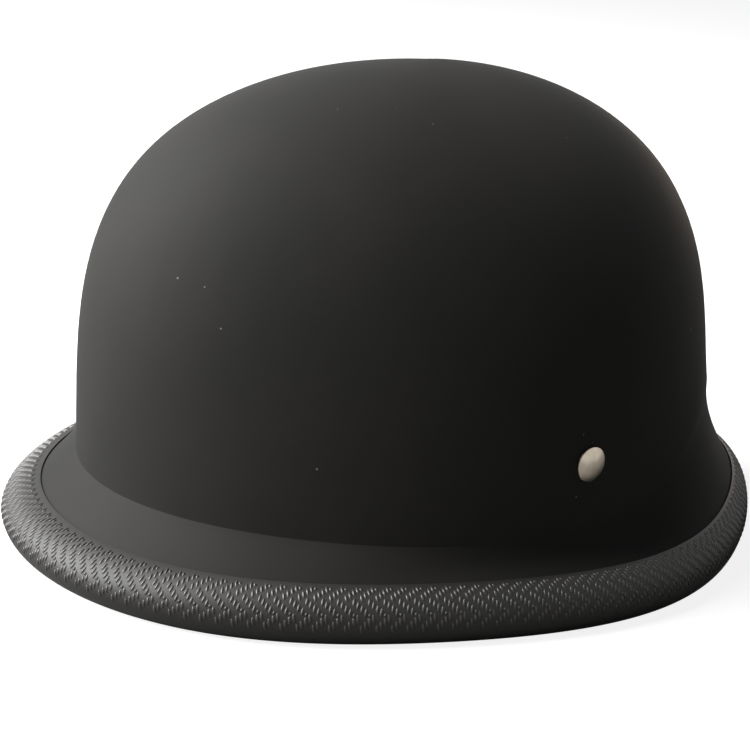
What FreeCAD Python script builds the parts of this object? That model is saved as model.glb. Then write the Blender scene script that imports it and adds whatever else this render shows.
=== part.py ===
import FreeCAD, Part
import Sketcher
import os
from math import asin, cos, degrees, pi, radians, sin

Vector = FreeCAD.Vector
Rotation = FreeCAD.Rotation
Placement = FreeCAD.Placement

# Half helmet with a high dome, a creased visor, a flared skirt and a push-on edge trim.
# Z is up, the visor looks along -Y, the wearer's left is +X, and the rim lies on z = 0.

document = FreeCAD.newDocument("helmet")
sheet = document.addObject("Spreadsheet::Sheet", "sizes")

# Driving dimensions in millimetres; a fullness is the exponent of a rounded profile.
DRIVING = {
    "Shell": {
        "dome_half_width": 105.3,
        "dome_half_length": 124.3,
        "dome_shift": -2.2,
        "crease_height": 28.6,
        "overall_height": 171.2,
        "crown_shift": 2.9,
        "shell_wall": 3.2,
        "front_fullness": 2.88,
        "side_fullness": 2.08,
        "rear_fullness": 2.64,
        "rear_wall_fill": 8.0,
        "rear_fill_height": 60.0,
        "rear_skirt_top": 62.0,
    },
    "Rim": {
        "rim_side_flare": 9.2,
        "rim_end_flare": 18.3,
        "rim_shift": 2.7,
        "edge_height": 8.0,
    },
    "Edge trim": {
        "trim_front_proud": 14.5,
        "trim_side_proud": 8.1,
        "trim_rear_proud": 7.4,
        "trim_front_top": 16.5,
        "trim_side_top": 18.6,
        "trim_rear_top": 20.6,
        "trim_bulge_height": 7.3,
        "trim_skin": 3.0,
        "trim_leg_thickness": 3.0,
        "trim_leg_drop": 3.0,
        "trim_joint_gap": 0.3,
        "trim_sole_cut": 0.5,
    },
    "Impact liner": {
        "glue_gap": 0.3,
        "liner_thickness": 15.0,
        "liner_bottom": 15.0,
        "channel_top": 70.0,
        "channel_side_room": 1.0,
        "channel_depth": 7.8,
    },
    "Comfort pads": {
        "pad_gap": 0.3,
        "pad_thickness": 9.0,
        "pad_bottom": 19.0,
        "pad_height": 42.0,
        "pad_puff_width": 30.0,
        "crown_pad_radius": 50.0,
        "crown_pad_thickness": 9.0,
    },
    "Rivets": {
        "rivet_height": 53.8,
        "rivet_forward": 6.1,
        "rivet_head_diameter": 12.0,
        "rivet_head_rise": 2.6,
        "rivet_head_lip": 0.5,
        "rivet_shank_diameter": 4.8,
        "rivet_tail_diameter": 9.0,
        "rivet_tail_thickness": 1.6,
        "rivet_hole_clearance": 0.1,
        "spacer_diameter": 14.0,
        "spacer_thickness": 3.1,
        "spacer_seat_gap": 0.9,
    },
    "Strap hangers": {
        "hanger_width": 24.0,
        "hanger_thickness": 1.5,
        "hanger_above_rivet": 9.0,
        "hanger_below_rivet": 27.0,
        "hanger_bar_height": 4.5,
        "hanger_slot_height": 5.0,
        "hanger_slot_side_room": 0.6,
        "hanger_corner": 2.5,
    },
    "Webbing": {
        "webbing_width": 20.0,
        "webbing_thickness": 1.6,
        "webbing_play": 0.3,
        "hanger_eye_play": 0.2,
        "table_gap": 0.3,
        "strap_side_gap": 4.9,
        "left_strap_length": 58.0,
        "right_strap_length": 105.0,
    },
    "Buckle": {
        "buckle_width": 27.0,
        "buckle_front": 43.5,
        "buckle_back": 4.5,
        "buckle_height": 11.5,
        "buckle_floor": 1.8,
        "buckle_back_wall": 2.0,
        "buckle_corner": 3.0,
        "bar_diameter": 4.0,
        "eye_clearance": 0.7,
        "well_side_room": 0.3,
    },
    "Buckle lever": {
        "lever_width": 15.8,
        "lever_plate": 3.0,
        "lever_tab_overhang": 3.5,
        "lever_barrel_diameter": 6.4,
        "lever_pin_diameter": 3.0,
        "lever_pin_clearance": 0.05,
        "lever_pin_reach": 14.0,
        "lever_pin_rise": 3.5,
        "lever_tooth_reach": 24.0,
        "lever_tooth_length": 4.0,
        "lever_tooth_drop": 4.0,
        "spring_width": 5.0,
        "spring_wire": 0.8,
        "spring_play": 0.3,
    },
    "Tongue": {
        "tongue_width": 25.6,
        "tongue_bar_diameter": 3.2,
        "tongue_ear_back": 3.5,
        "tongue_bridge_start": 4.4,
        "tongue_bridge_end": 8.0,
        "tongue_bridge_top": 0.5,
        "tongue_length": 46.0,
        "tongue_blade_width": 15.8,
        "tongue_blade_thickness": 2.4,
        "tongue_table_gap": 0.4,
        "tongue_ear_top": 2.2,
        "tooth_pitch": 3.0,
        "tooth_height": 1.0,
        "tooth_start": 14.0,
    },
    "Chin pad and keeper": {
        "chin_pad_start": 14.0,
        "chin_pad_length": 50.0,
        "chin_pad_width": 30.0,
        "chin_pad_crown": 7.0,
        "chin_pad_skin": 1.0,
        "keeper_from_eye": 21.0,
        "keeper_length": 7.0,
        "keeper_wall": 1.0,
        "keeper_side_wall": 1.9,
        "keeper_corner": 0.6,
    },
}

# Shares of the sizes that they follow, chosen by hand.
DOME_WAVE_SHARES = (0.0, 0.018, -0.004, 0.002)
DOME_EGG_SHARE = -0.009
RIM_WAVE_SHARES = (0.0, 0.013, -0.008, -0.005, 0.002)
RIM_EGG_SHARE = 0.045
PROFILE_SWELL_SHARES = (0.020, 0.024, 0.004)
SOLE_FLAT_SHARE = 0.35
SLOPE_WALL_SHARE = 1.25
PAD_SEAM_SHARE = 0.6
PAD_END_SHARE = 0.35
PAD_END_POWER = 6
PAD_STEPS = 4
CHIN_PAD_END_SHARE = 0.7
PAD_TURN_SHARES = {
    "brow_pad": (-0.106, 0.106),
    "left_side_pad": (0.133, 0.367),
    "nape_pad": (0.394, 0.606),
    "right_side_pad": (0.633, 0.867),
}
FLARE_TURN = radians(55)
CREASE_END = radians(45)
FLARE_START = radians(80)
REAR_START = radians(95)
REAR_FULL = radians(135)
REAR_FILL_POWER = 1.5
REAR_SWEEP_POWER = 1.7
TONGUE_TOOTH_COUNT = 9
STATIONS = 36
PROFILE_STEPS = 14


class Size:
    """A length with its value and with the formula that binds it to the sheet."""

    def __init__(self, value, formula):
        self.value = value
        self.formula = formula

    def joined(self, other, value, sign):
        formula = other.formula if isinstance(other, Size) else str(other)
        return Size(value, "(" + self.formula + sign + formula + ")")

    def __add__(self, other):
        return self.joined(other, self.value + plain(other), " + ")

    def __sub__(self, other):
        return self.joined(other, self.value - plain(other), " - ")

    def __mul__(self, other):
        return self.joined(other, self.value * plain(other), " * ")

    def __truediv__(self, other):
        return self.joined(other, self.value / plain(other), " / ")

    def __neg__(self):
        return Size(-self.value, "(-" + self.formula + ")")


def plain(amount):
    """The number behind a size, or the number itself."""
    return amount.value if isinstance(amount, Size) else amount


def formula(amount):
    return amount.formula if isinstance(amount, Size) else str(amount)


class Sizes:
    """The named sizes of the sheet."""


size = Sizes()
row = 1
for group, values in DRIVING.items():
    sheet.set("A%d" % row, group)
    row += 1
    for name, value in values.items():
        sheet.set("A%d" % row, name)
        sheet.set("B%d" % row, str(value))
        sheet.setAlias("B%d" % row, name)
        setattr(size, name, Size(value, "sizes." + name))
        row += 1
document.recompute()

ZERO = Size(0, "0")
rim_half_width = size.dome_half_width + size.rim_side_flare
rim_half_length = size.dome_half_length + size.rim_end_flare


# Closed outlines and profiles

def outline_point(angle, half_width, half_length, egg, waves):
    """A point of a rounded outline; the angle runs from the front by the wearer's left."""
    wave = 1 + sum(share * cos((3 + order) * angle) for order, share in enumerate(waves))
    x = half_width * sin(angle) * (1 - egg * cos(angle)) * wave
    y = -half_length * cos(angle) * wave
    return Vector(x, y, 0)


def by_direction(angle, front, side, rear):
    """A value that goes from the front to the side to the rear."""
    forward = max(cos(angle), 0)
    backward = max(-cos(angle), 0)
    return front * forward ** 2 + rear * backward ** 2 + side * sin(angle) ** 2


def station_angles(count=STATIONS):
    """Angles once round, which start at the rear."""
    return [pi + 2 * pi * step / count for step in range(count)]


def closed_ring(points):
    """A smooth closed curve through the points, as a wire."""
    shares = [step / len(points) for step in range(len(points) + 1)]
    curve = Part.BSplineCurve()
    curve.interpolate(Points=points, PeriodicFlag=True, Parameters=shares)
    return Part.Wire(curve.toShape())


def profile_shares(turn, fullness):
    """How far out and how high a point of the dome is at this turn of its profile."""
    first, second, third = PROFILE_SWELL_SHARES
    swell = 1 + first * sin(2 * turn) ** 2 + second * sin(4 * turn) + third * sin(6 * turn)
    out = max(cos(turn), 0) ** (2 / fullness) * swell
    up = sin(turn) ** (2 / fullness) * swell
    return out, up


def eased(share):
    """A share that starts and ends gently."""
    share = min(max(share, 0.0), 1.0)
    return share * share * (3 - 2 * share)


def rear_share(angle):
    """0 from the front to the strap anchors, 1 over the rear."""
    from_front = abs(((angle + pi) % (2 * pi)) - pi)
    return eased((from_front - REAR_START) / (REAR_FULL - REAR_START))


def is_outer_skin(inset):
    """Whether a dome belongs to the shell or the liner's outside. The head space is further in."""
    return inset < size.liner_thickness.value


def rear_fill(angle, height):
    """How much further out the low rear of the wall is, where it runs straight down."""
    below = 1 - (height - size.crease_height.value) / size.rear_fill_height.value
    return size.rear_wall_fill.value * rear_share(angle) * max(below, 0) ** REAR_FILL_POWER


def dome_point(angle, turn, inset):
    """A point of the dome, or of the like dome that lies an inset further in."""
    fullness = by_direction(
        angle, size.front_fullness.value, size.side_fullness.value, size.rear_fullness.value)
    out, up = profile_shares(turn, fullness)
    base = outline_point(
        angle, size.dome_half_width.value - inset, size.dome_half_length.value - inset,
        DOME_EGG_SHARE, DOME_WAVE_SHARES)
    rise = size.overall_height.value - size.crease_height.value - inset
    shift = size.dome_shift.value + size.crown_shift.value * up
    height = size.crease_height.value + rise * up
    if is_outer_skin(inset):
        out += rear_fill(angle, height) / base.Length
    return Vector(base.x * out, base.y * out + shift, height)


def skirt_turn(angle, inset):
    """The turn of the profile where the skirt starts. It is higher on the rear of the outer skins."""
    share = rear_share(angle)
    if share == 0 or not is_outer_skin(inset):
        return 0.0
    start = size.crease_height.value
    height = start + (size.rear_skirt_top.value - start) * share
    low, high = 0.0, pi / 4
    for _ in range(30):
        middle = (low + high) / 2
        if dome_point(angle, middle, inset).z < height:
            low = middle
        else:
            high = middle
    return low


def dome_turn(step, start=0.0):
    """The turn of the profile at a step from the skirt, 0, to the crown, 1."""
    return start + (pi / 2 - start) * (1 - (1 - step) ** 1.25)


def dome_ring(step, inset):
    return closed_ring([
        dome_point(angle, dome_turn(step, skirt_turn(angle, inset)), inset)
        for angle in station_angles()])


def dome_rings(inset, start=0.0):
    """Rings of the dome from a step up to its crown, which is a point."""
    steps = [start + (1 - start) * count / PROFILE_STEPS for count in range(PROFILE_STEPS)]
    crown = dome_point(0, pi / 2, inset)
    return [dome_ring(step, inset) for step in steps] + [Part.Vertex(crown)]


def wall_reach(height):
    """How far out the shell's outer face is at the side, at a height."""
    low, high = 0.0, pi / 4
    for _ in range(40):
        middle = (low + high) / 2
        if dome_point(pi / 2, middle, 0).z < height:
            low = middle
        else:
            high = middle
    return dome_point(pi / 2, low, 0).x


def rim_point(angle, offset, height):
    """A point beside the line where the trim's lip meets the shell, at a height."""
    def at(turn):
        return outline_point(
            turn, rim_half_width.value, rim_half_length.value,
            RIM_EGG_SHARE, RIM_WAVE_SHARES)
    step = pi / STATIONS
    along = at(angle + step) - at(angle - step)
    outward = Vector(along.y, -along.x, 0).normalize()
    point = at(angle) + outward * offset
    return Vector(point.x, point.y + size.rim_shift.value, height)


def trim_proud(angle):
    return by_direction(
        angle, size.trim_front_proud.value, size.trim_side_proud.value, size.trim_rear_proud.value)


def trim_top(angle):
    return by_direction(
        angle, size.trim_front_top.value, size.trim_side_top.value, size.trim_rear_top.value)


def rim_ring(offset_at, height_at):
    return closed_ring(
        [rim_point(angle, offset_at(angle), height_at(angle)) for angle in station_angles()])


def flare_point(angle, step, inset):
    """A point of the skirt from the crease, 0, to the trim's lip, 1.

    The visor is a straight slope off a crisp crease. The sides sweep out of the wall low down, and the
    rear sweeps out from higher up."""
    from_front = abs(((angle + pi) % (2 * pi)) - pi)
    sweep = eased((from_front - CREASE_END) / (FLARE_START - CREASE_END))
    swept_out = (1 - cos(step * FLARE_TURN)) / (1 - cos(FLARE_TURN))
    swept_down = sin(step * FLARE_TURN) / sin(FLARE_TURN)
    rear = rear_share(angle)
    swept_out += (step ** REAR_SWEEP_POWER - swept_out) * rear
    swept_down += (step - swept_down) * rear
    out = step + (swept_out - step) * sweep
    down = step + (swept_down - step) * sweep
    top = dome_point(angle, skirt_turn(angle, inset), inset)
    lip = rim_point(angle, -inset * SLOPE_WALL_SHARE, trim_top(angle))
    flat = top + (lip - top) * out
    return Vector(flat.x, flat.y, top.z + (lip.z - top.z) * down)


def flare_rings(inset):
    """Rings of the skirt from the crease down to the trim's lip."""
    return [
        closed_ring([flare_point(angle, step, inset) for angle in station_angles()])
        for step in (0, 0.2, 0.4, 0.6, 0.8, 1)]


def edge_ring(inset):
    """The ring of the shell's edge inside the trim."""
    return rim_ring(
        lambda angle: edge_reach(angle) - inset * SLOPE_WALL_SHARE,
        lambda angle: size.edge_height.value)


def edge_reach(angle):
    """How far the shell's edge reaches into the trim."""
    return trim_proud(angle) - size.trim_skin.value


def skin(rings):
    """A surface through rings, straight between two and smooth through more."""
    return Part.makeLoft(rings, False, len(rings) == 2)


def sewn_solid(strips):
    """A closed solid from strips of rings that share their end rings."""
    faces = []
    for strip in strips:
        faces.extend(skin(strip).Faces)
    shell = Part.Compound(faces)
    shell.sewShape()
    solid = Part.Solid(shell.Shells[0])
    if solid.Volume < 0:
        solid.reverse()
    return solid


def feature(label, shape, placement=None):
    """An object of the document that holds a shape made in code."""
    made = document.addObject("Part::Feature", label)
    made.Label = label
    made.Shape = shape
    if placement:
        made.Placement = placement
    return made


def bind(target, **amounts):
    """Binds properties of an object to the sheet; a double underscore stands for a dot."""
    for name, amount in amounts.items():
        path = name.replace("__", ".")
        target.setExpression(path, formula(amount))


def block(name, low, high):
    """A box from its lowest to its highest corner."""
    made = document.addObject("Part::Box", name)
    bind(made, Length=high[0] - low[0], Width=high[1] - low[1], Height=high[2] - low[2],
         Placement__Base__x=low[0], Placement__Base__y=low[1], Placement__Base__z=low[2])
    return made


def rod(name, radius, length, centre, axis):
    """A cylinder with its middle at a place, along an axis."""
    made = document.addObject("Part::Cylinder", name)
    x, y, z = centre
    if axis == "x":
        made.Placement = Placement(Vector(), Rotation(Vector(0, 1, 0), 90))
        x = x - length / 2
    elif axis == "y":
        made.Placement = Placement(Vector(), Rotation(Vector(1, 0, 0), -90))
        y = y - length / 2
    else:
        z = z - length / 2
    bind(made, Radius=radius, Height=length,
         Placement__Base__x=x, Placement__Base__y=y, Placement__Base__z=z)
    return made


def combined(kind, name, base, tool):
    made = document.addObject("Part::" + kind, name)
    made.Base = base
    made.Tool = tool
    return made


# Sketched bodies

PLANES = {"xy": "XY_Plane", "xz": "XZ_Plane", "yz": "YZ_Plane"}
CURVE_START = 1
CURVE_END = 2
CIRCLE_CENTRE = 3
PARALLEL_TOLERANCE = 1e-6


def new_body(label, placement):
    made = document.addObject("PartDesign::Body", label)
    made.Label = label
    made.Placement = placement
    return made


def new_sketch(body, name, plane, offset=None):
    """A sketch on one of the body's own planes, moved off it by an offset along its normal."""
    made = body.newObject("Sketcher::SketchObject", name)
    for origin_plane in body.Origin.OriginFeatures:
        if origin_plane.Role == PLANES[plane]:
            made.AttachmentSupport = [(origin_plane, "")]
    made.MapMode = "FlatFace"
    if offset is not None:
        bind(made, AttachmentOffset__Base__z=offset)
    return made


def fix(sketch, geometry, point, x, y):
    """Ties a point of the sketch to its place."""
    for kind, amount in (("DistanceX", x), ("DistanceY", y)):
        index = sketch.addConstraint(
            Sketcher.Constraint(kind, -1, CURVE_START, geometry, point, plain(amount)))
        sketch.setExpression("Constraints[%d]" % index, formula(amount))


def draw_polygon(sketch, corners):
    """A closed polygon whose corners are tied to their places."""
    spots = [Vector(plain(x), plain(y), 0) for x, y in corners]
    count = len(corners)
    first = sketch.GeometryCount
    for index in range(count):
        sketch.addGeometry(Part.LineSegment(spots[index], spots[(index + 1) % count]), False)
    for index, (x, y) in enumerate(corners):
        fix(sketch, first + index, CURVE_START, x, y)
        sketch.addConstraint(Sketcher.Constraint(
            "Coincident", first + (index - 1) % count, CURVE_END, first + index, CURVE_START))


def draw_rectangle(sketch, low, high):
    draw_polygon(sketch, [low, (high[0], low[1]), high, (low[0], high[1])])


def draw_circle(sketch, centre, radius):
    spot = Vector(plain(centre[0]), plain(centre[1]), 0)
    index = sketch.addGeometry(Part.Circle(spot, Vector(0, 0, 1), plain(radius)), False)
    fix(sketch, index, CIRCLE_CENTRE, centre[0], centre[1])
    tie = sketch.addConstraint(Sketcher.Constraint("Radius", index, plain(radius)))
    sketch.setExpression("Constraints[%d]" % tie, formula(radius))


def pad(body, name, sketch, length, midplane=False):
    made = body.newObject("PartDesign::Pad", name)
    made.Profile = sketch
    made.Midplane = midplane
    bind(made, Length=length)
    return made


def through_cut(body, name, sketch, length):
    """A pocket through the body, both ways from its sketch."""
    made = body.newObject("PartDesign::Pocket", name)
    made.Profile = sketch
    made.Midplane = True
    bind(made, Length=length)
    return made


def rounded(body, name, base, edges, radius):
    """Rounds the named edges of a feature."""
    made = body.newObject("PartDesign::Fillet", name)
    made.Base = (base, edges)
    bind(made, Radius=radius)
    return made


def edges_along(shape, axis, away=None):
    """Names of the straight edges that run along an axis, where a test of their middle holds."""
    names = []
    for index, edge in enumerate(shape.Edges):
        if edge.Curve.TypeId != "Part::GeomLine":
            continue
        if edge.Curve.Direction.cross(axis).Length > PARALLEL_TOLERANCE:
            continue
        if away is None or away(edge.CenterOfMass):
            names.append("Edge%d" % (index + 1))
    return names


X_AXIS = Vector(1, 0, 0)
Z_AXIS = Vector(0, 0, 1)

# Where the rivets stand on the shell's outer face
wall_x = wall_reach(size.rivet_height.value)
SIDES = {"left": (1, 0), "right": (-1, 180)}


def side_placement(side, inward=0.0, height=None):
    """The frame of a side's hardware: its X axis points out of the shell on the rivet's axis."""
    sign, turn = SIDES[side]
    level = size.rivet_height.value if height is None else height
    place = Vector(sign * (wall_x - inward), -size.rivet_forward.value, level)
    return Placement(place, Rotation(Z_AXIS, turn))


# Outer shell: one moulded wall with the dome, the visor and the flared skirt

def hollow_dome(outer_inset, inner_inset):
    outer = flare_rings(outer_inset)
    inner = flare_rings(inner_inset)
    outer_edge = edge_ring(outer_inset)
    inner_edge = edge_ring(inner_inset)
    return sewn_solid([
        dome_rings(outer_inset), outer, [outer[-1], outer_edge], [outer_edge, inner_edge],
        [inner_edge, inner[-1]], inner, dome_rings(inner_inset)])


shell_blank = feature("shell_blank", hollow_dome(0.0, size.shell_wall.value))
hole = rod("rivet_holes", size.rivet_shank_diameter / 2 + size.rivet_hole_clearance,
           size.dome_half_width * 3, (ZERO, -size.rivet_forward, size.rivet_height), "x")
outer_shell = combined("Cut", "outer_shell", shell_blank, hole)


# Edge trim: a soft channel pushed over the shell's edge, with a butt joint at the rear

def trim_rings():
    wall = size.shell_wall.value
    bulge = size.trim_bulge_height.value
    sole_cut = size.trim_sole_cut.value

    def upper(turn):
        return rim_ring(
            lambda angle: (trim_proud(angle) + wall / 2) * cos(turn) - wall / 2,
            lambda angle: bulge + (trim_top(angle) - bulge) * sin(turn))

    def lower(turn):
        def offset(angle):
            flat = trim_proud(angle) * SOLE_FLAT_SHARE
            return flat + (trim_proud(angle) - flat) * cos(turn)
        return rim_ring(offset, lambda angle: bulge - (bulge + sole_cut) * sin(turn))

    face = [upper(radians(turn)) for turn in (90, 72, 54, 36, 18, 0)]
    face += [lower(radians(turn)) for turn in (22.5, 45, 67.5, 90)]

    def leg_foot(angle):
        return edge_reach(angle) - wall * SLOPE_WALL_SHARE - size.trim_leg_thickness.value

    foot = rim_ring(leg_foot, lambda angle: -sole_cut)
    head = rim_ring(
        lambda angle: -wall * SLOPE_WALL_SHARE - size.trim_leg_thickness.value,
        lambda angle: trim_top(angle) - size.trim_leg_drop.value)
    return [face, [face[-1], foot], [foot, head], [head, face[0]]]


trim_blank = sewn_solid(trim_rings())
gap = size.trim_joint_gap.value
reach = rim_half_length.value * 2
table = Part.makeBox(
    reach * 2, reach * 2, size.overall_height.value,
    Vector(-reach, -reach, -size.overall_height.value))
joint_cut = Part.makeBox(
    gap, rim_half_length.value, size.overall_height.value, Vector(-gap / 2, 0, 0))
trim_shape = trim_blank.cut(table).cut(shell_blank.Shape).cut(joint_cut)
edge_trim = feature("edge_trim", Part.Solid(max(trim_shape.Solids, key=lambda part: part.Volume)))
edge_trim.Label = "edge_trim"


# Impact liner: moulded foam between the shell and the pads, with a channel for each strap

liner_outer_inset = size.shell_wall.value + size.glue_gap.value
liner_inner_inset = liner_outer_inset + size.liner_thickness.value
pad_inset = liner_inner_inset + size.pad_gap.value


def level_ring(inset, height):
    points = [dome_point(angle, 0, inset) for angle in station_angles()]
    return closed_ring([Vector(point.x, point.y, height) for point in points])


outer_foot = level_ring(liner_outer_inset, size.liner_bottom.value)
inner_foot = level_ring(liner_inner_inset, size.liner_bottom.value)
liner_blank = sewn_solid([
    dome_rings(liner_outer_inset),
    [dome_ring(0, liner_outer_inset), outer_foot],
    [outer_foot, inner_foot],
    [inner_foot, dome_ring(0, liner_inner_inset)],
    dome_rings(liner_inner_inset)])
channel_width = size.hanger_width.value + 2 * size.channel_side_room.value
channel_floor = wall_x - size.shell_wall.value - size.channel_depth.value
for sign in (1, -1):
    start = channel_floor if sign > 0 else -channel_floor - wall_x
    channel = Part.makeBox(
        wall_x, channel_width, size.channel_top.value,
        Vector(start, -size.rivet_forward.value - channel_width / 2, 0))
    liner_blank = liner_blank.cut(channel)
impact_liner = feature("impact_liner", liner_blank)


# Comfort pads: quilted cushions along the liner's lower edge, with crowned faces and sewn seams

def pad_section(angle, puff, spread):
    """A pad's upright section: a flat back and a crowned face."""
    base = dome_point(angle, 0, pad_inset)
    step = pi / STATIONS
    along = dome_point(angle + step, 0, pad_inset) - dome_point(angle - step, 0, pad_inset)
    inward = Vector(-along.y, along.x, 0).normalize()
    middle = size.pad_bottom.value + size.pad_height.value / 2
    half = size.pad_height.value / 2 * spread
    low = Vector(base.x, base.y, middle - half)
    high = Vector(base.x, base.y, middle + half)
    crown = Vector(base.x, base.y, middle) + inward * size.pad_thickness.value * puff
    back = Part.LineSegment(high, low).toShape()
    face = Part.Arc(low, crown, high).toShape()
    return Part.Wire([face, back])


def comfort_pad(first, last):
    """A pad between two shares of a full turn; its puffs meet in sewn seams."""
    spots = [dome_point(2 * pi * (first + (last - first) * step / STATIONS), 0, pad_inset)
             for step in range(STATIONS + 1)]
    length = sum((after - before).Length for before, after in zip(spots, spots[1:]))
    puffs = round(length / size.pad_puff_width.value)
    sections = []
    count = PAD_STEPS * puffs
    for index in range(count + 1):
        share = index / count
        fullness = 1 - abs(2 * share - 1) ** PAD_END_POWER
        end = PAD_END_SHARE + (1 - PAD_END_SHARE) * fullness
        seam = 1 - (1 - PAD_SEAM_SHARE) * cos(pi * puffs * share) ** 2
        angle = 2 * pi * (first + (last - first) * share)
        sections.append(pad_section(angle, end * seam, (1 + end) / 2))
    return Part.makeLoft(sections, True)


for label, (first, last) in PAD_TURN_SHARES.items():
    feature(label, comfort_pad(first, last))


# Crown pad: a round cushion under the liner's crown

def crown_step(inset, radius):
    """The step of the profile at which the dome has narrowed to a radius at the side."""
    low, high = 0.0, 1.0
    for _ in range(40):
        middle = (low + high) / 2
        if dome_point(pi / 2, dome_turn(middle), inset).x > radius:
            low = middle
        else:
            high = middle
    return low


crown_low_inset = pad_inset + size.crown_pad_thickness.value
crown_top_start = crown_step(pad_inset, size.crown_pad_radius.value)
crown_low_start = crown_step(
    crown_low_inset, size.crown_pad_radius.value - size.crown_pad_thickness.value)
crown_pad = feature("crown_pad", sewn_solid([
    dome_rings(pad_inset, crown_top_start),
    [dome_ring(crown_top_start, pad_inset), dome_ring(crown_low_start, crown_low_inset)],
    dome_rings(crown_low_inset, crown_low_start)]))


# Rivets: domed heads outside, shanks through the shell and the hangers, upset tails inside

spacer_x = size.shell_wall + size.spacer_seat_gap
hanger_x = spacer_x + size.spacer_thickness
tail_x = hanger_x + size.hanger_thickness
for side in SIDES:
    rivet = new_body(side + "_rivet", side_placement(side))
    outline = new_sketch(rivet, side + "_rivet_outline", "xz")
    head_radius = size.rivet_head_diameter / 2
    shank_radius = size.rivet_shank_diameter / 2
    tail_radius = size.rivet_tail_diameter / 2
    rise = size.rivet_head_rise - size.rivet_head_lip
    corners = [
        (size.rivet_head_rise, ZERO),
        (size.rivet_head_lip, head_radius),
        (ZERO, head_radius),
        (ZERO, shank_radius),
        (-tail_x, shank_radius),
        (-tail_x, tail_radius),
        (-(tail_x + size.rivet_tail_thickness), tail_radius),
        (-(tail_x + size.rivet_tail_thickness), ZERO),
    ]
    count = len(corners)
    spots = [Vector(x.value, y.value, 0) for x, y in corners]
    dome_radius = (rise.value ** 2 + head_radius.value ** 2) / (2 * rise.value)
    centre = Vector(size.rivet_head_rise.value - dome_radius, 0, 0)
    spread = asin(head_radius.value / dome_radius)
    middle = centre + Vector(cos(spread / 2), sin(spread / 2), 0) * dome_radius
    outline.addGeometry(Part.Arc(spots[0], middle, spots[1]), False)
    for index in range(1, count):
        outline.addGeometry(Part.LineSegment(spots[index], spots[(index + 1) % count]), False)
    start_point, end_point = CURVE_START, CURVE_END
    arc = outline.Geometry[0]
    if (arc.StartPoint - spots[0]).Length > (arc.EndPoint - spots[0]).Length:
        start_point, end_point = CURVE_END, CURVE_START
    fix(outline, 0, start_point, corners[0][0], corners[0][1])
    outline.addConstraint(Sketcher.Constraint("Coincident", 0, end_point, 1, CURVE_START))
    outline.addConstraint(Sketcher.Constraint("PointOnObject", 0, CIRCLE_CENTRE, -1))
    for index in range(1, count):
        fix(outline, index, CURVE_START, corners[index][0], corners[index][1])
        if index > 1:
            outline.addConstraint(
                Sketcher.Constraint("Coincident", index - 1, CURVE_END, index, CURVE_START))
    outline.addConstraint(
        Sketcher.Constraint("Coincident", count - 1, CURVE_END, 0, start_point))
    turned = rivet.newObject("PartDesign::Revolution", side + "_rivet_turned")
    turned.Profile = outline
    turned.ReferenceAxis = (outline, ["H_Axis"])
    turned.Angle = 360

    ring = rod(side + "_spacer_disc", size.spacer_diameter / 2, size.spacer_thickness,
               (-(spacer_x + size.spacer_thickness / 2), ZERO, ZERO), "x")
    bore = rod(side + "_spacer_bore", shank_radius + size.rivet_hole_clearance,
               size.spacer_thickness * 3,
               (-(spacer_x + size.spacer_thickness / 2), ZERO, ZERO), "x")
    spacer = combined("Cut", side + "_rivet_spacer", ring, bore)
    spacer.Placement = side_placement(side)


# Strap hangers: pressed steel plates on the rivets, each with a slot for the webbing

for side in SIDES:
    hanger = new_body(side + "_strap_hanger", side_placement(side))
    plate = new_sketch(hanger, side + "_hanger_outline", "yz", -hanger_x)
    half = size.hanger_width / 2
    draw_rectangle(plate, (-half, -size.hanger_below_rivet), (half, size.hanger_above_rivet))
    draw_circle(plate, (ZERO, ZERO), shank_radius + size.rivet_hole_clearance)
    slot_half = size.webbing_width / 2 + size.hanger_slot_side_room
    slot_low = size.hanger_bar_height - size.hanger_below_rivet
    draw_rectangle(plate, (-slot_half, slot_low), (slot_half, slot_low + size.hanger_slot_height))
    solid = pad(hanger, side + "_hanger_plate", plate, size.hanger_thickness)
    solid.Reversed = True
    document.recompute()
    between = (slot_half.value + half.value) / 2
    corners = edges_along(solid.Shape, X_AXIS, lambda spot: abs(spot.y) > between)
    rounded(hanger, side + "_hanger_corners", solid, corners, size.hanger_corner)


# Webbing: woven straps that hang from the plates and leave the helmet below the liner

half_web = size.webbing_thickness / 2
web_centre_x = hanger_x + size.hanger_thickness / 2
buckle_eye_radius = size.bar_diameter / 2 + size.webbing_play + size.webbing_thickness
tongue_eye_radius = size.tongue_bar_diameter / 2 + size.webbing_play + size.webbing_thickness
chin_sleeve = size.chin_pad_skin + size.webbing_play
FOLD_HEIGHTS = {
    "left": size.table_gap + half_web,
    "right": size.table_gap + chin_sleeve + half_web,
}
for side in SIDES:
    fold = FOLD_HEIGHTS[side]
    half = size.webbing_width / 2
    reach = size.hanger_thickness / 2 + size.hanger_eye_play
    bar_top = size.hanger_bar_height - size.hanger_below_rivet
    bar_low = -size.hanger_below_rivet
    play = size.hanger_eye_play
    web = size.webbing_thickness
    eye = block(side + "_eye_blank",
                (-(web_centre_x + reach + web), -half, bar_low - play - web),
                (-(web_centre_x - reach - web), half, bar_top + play + web))
    bore = block(side + "_eye_bore",
                 (-(web_centre_x + reach), -size.webbing_width, bar_low - play),
                 (-(web_centre_x - reach), size.webbing_width, bar_top + play))
    strip = block(side + "_drop_strip",
                  (-(web_centre_x + half_web), -half,
                   fold + half_web + size.webbing_play - size.rivet_height),
                  (-(web_centre_x - half_web), half, bar_low - play))
    looped = combined("Cut", side + "_eye", eye, bore)
    anchor = combined("Fuse", side + "_anchor_webbing", looped, strip)
    anchor.Placement = side_placement(side)


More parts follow.
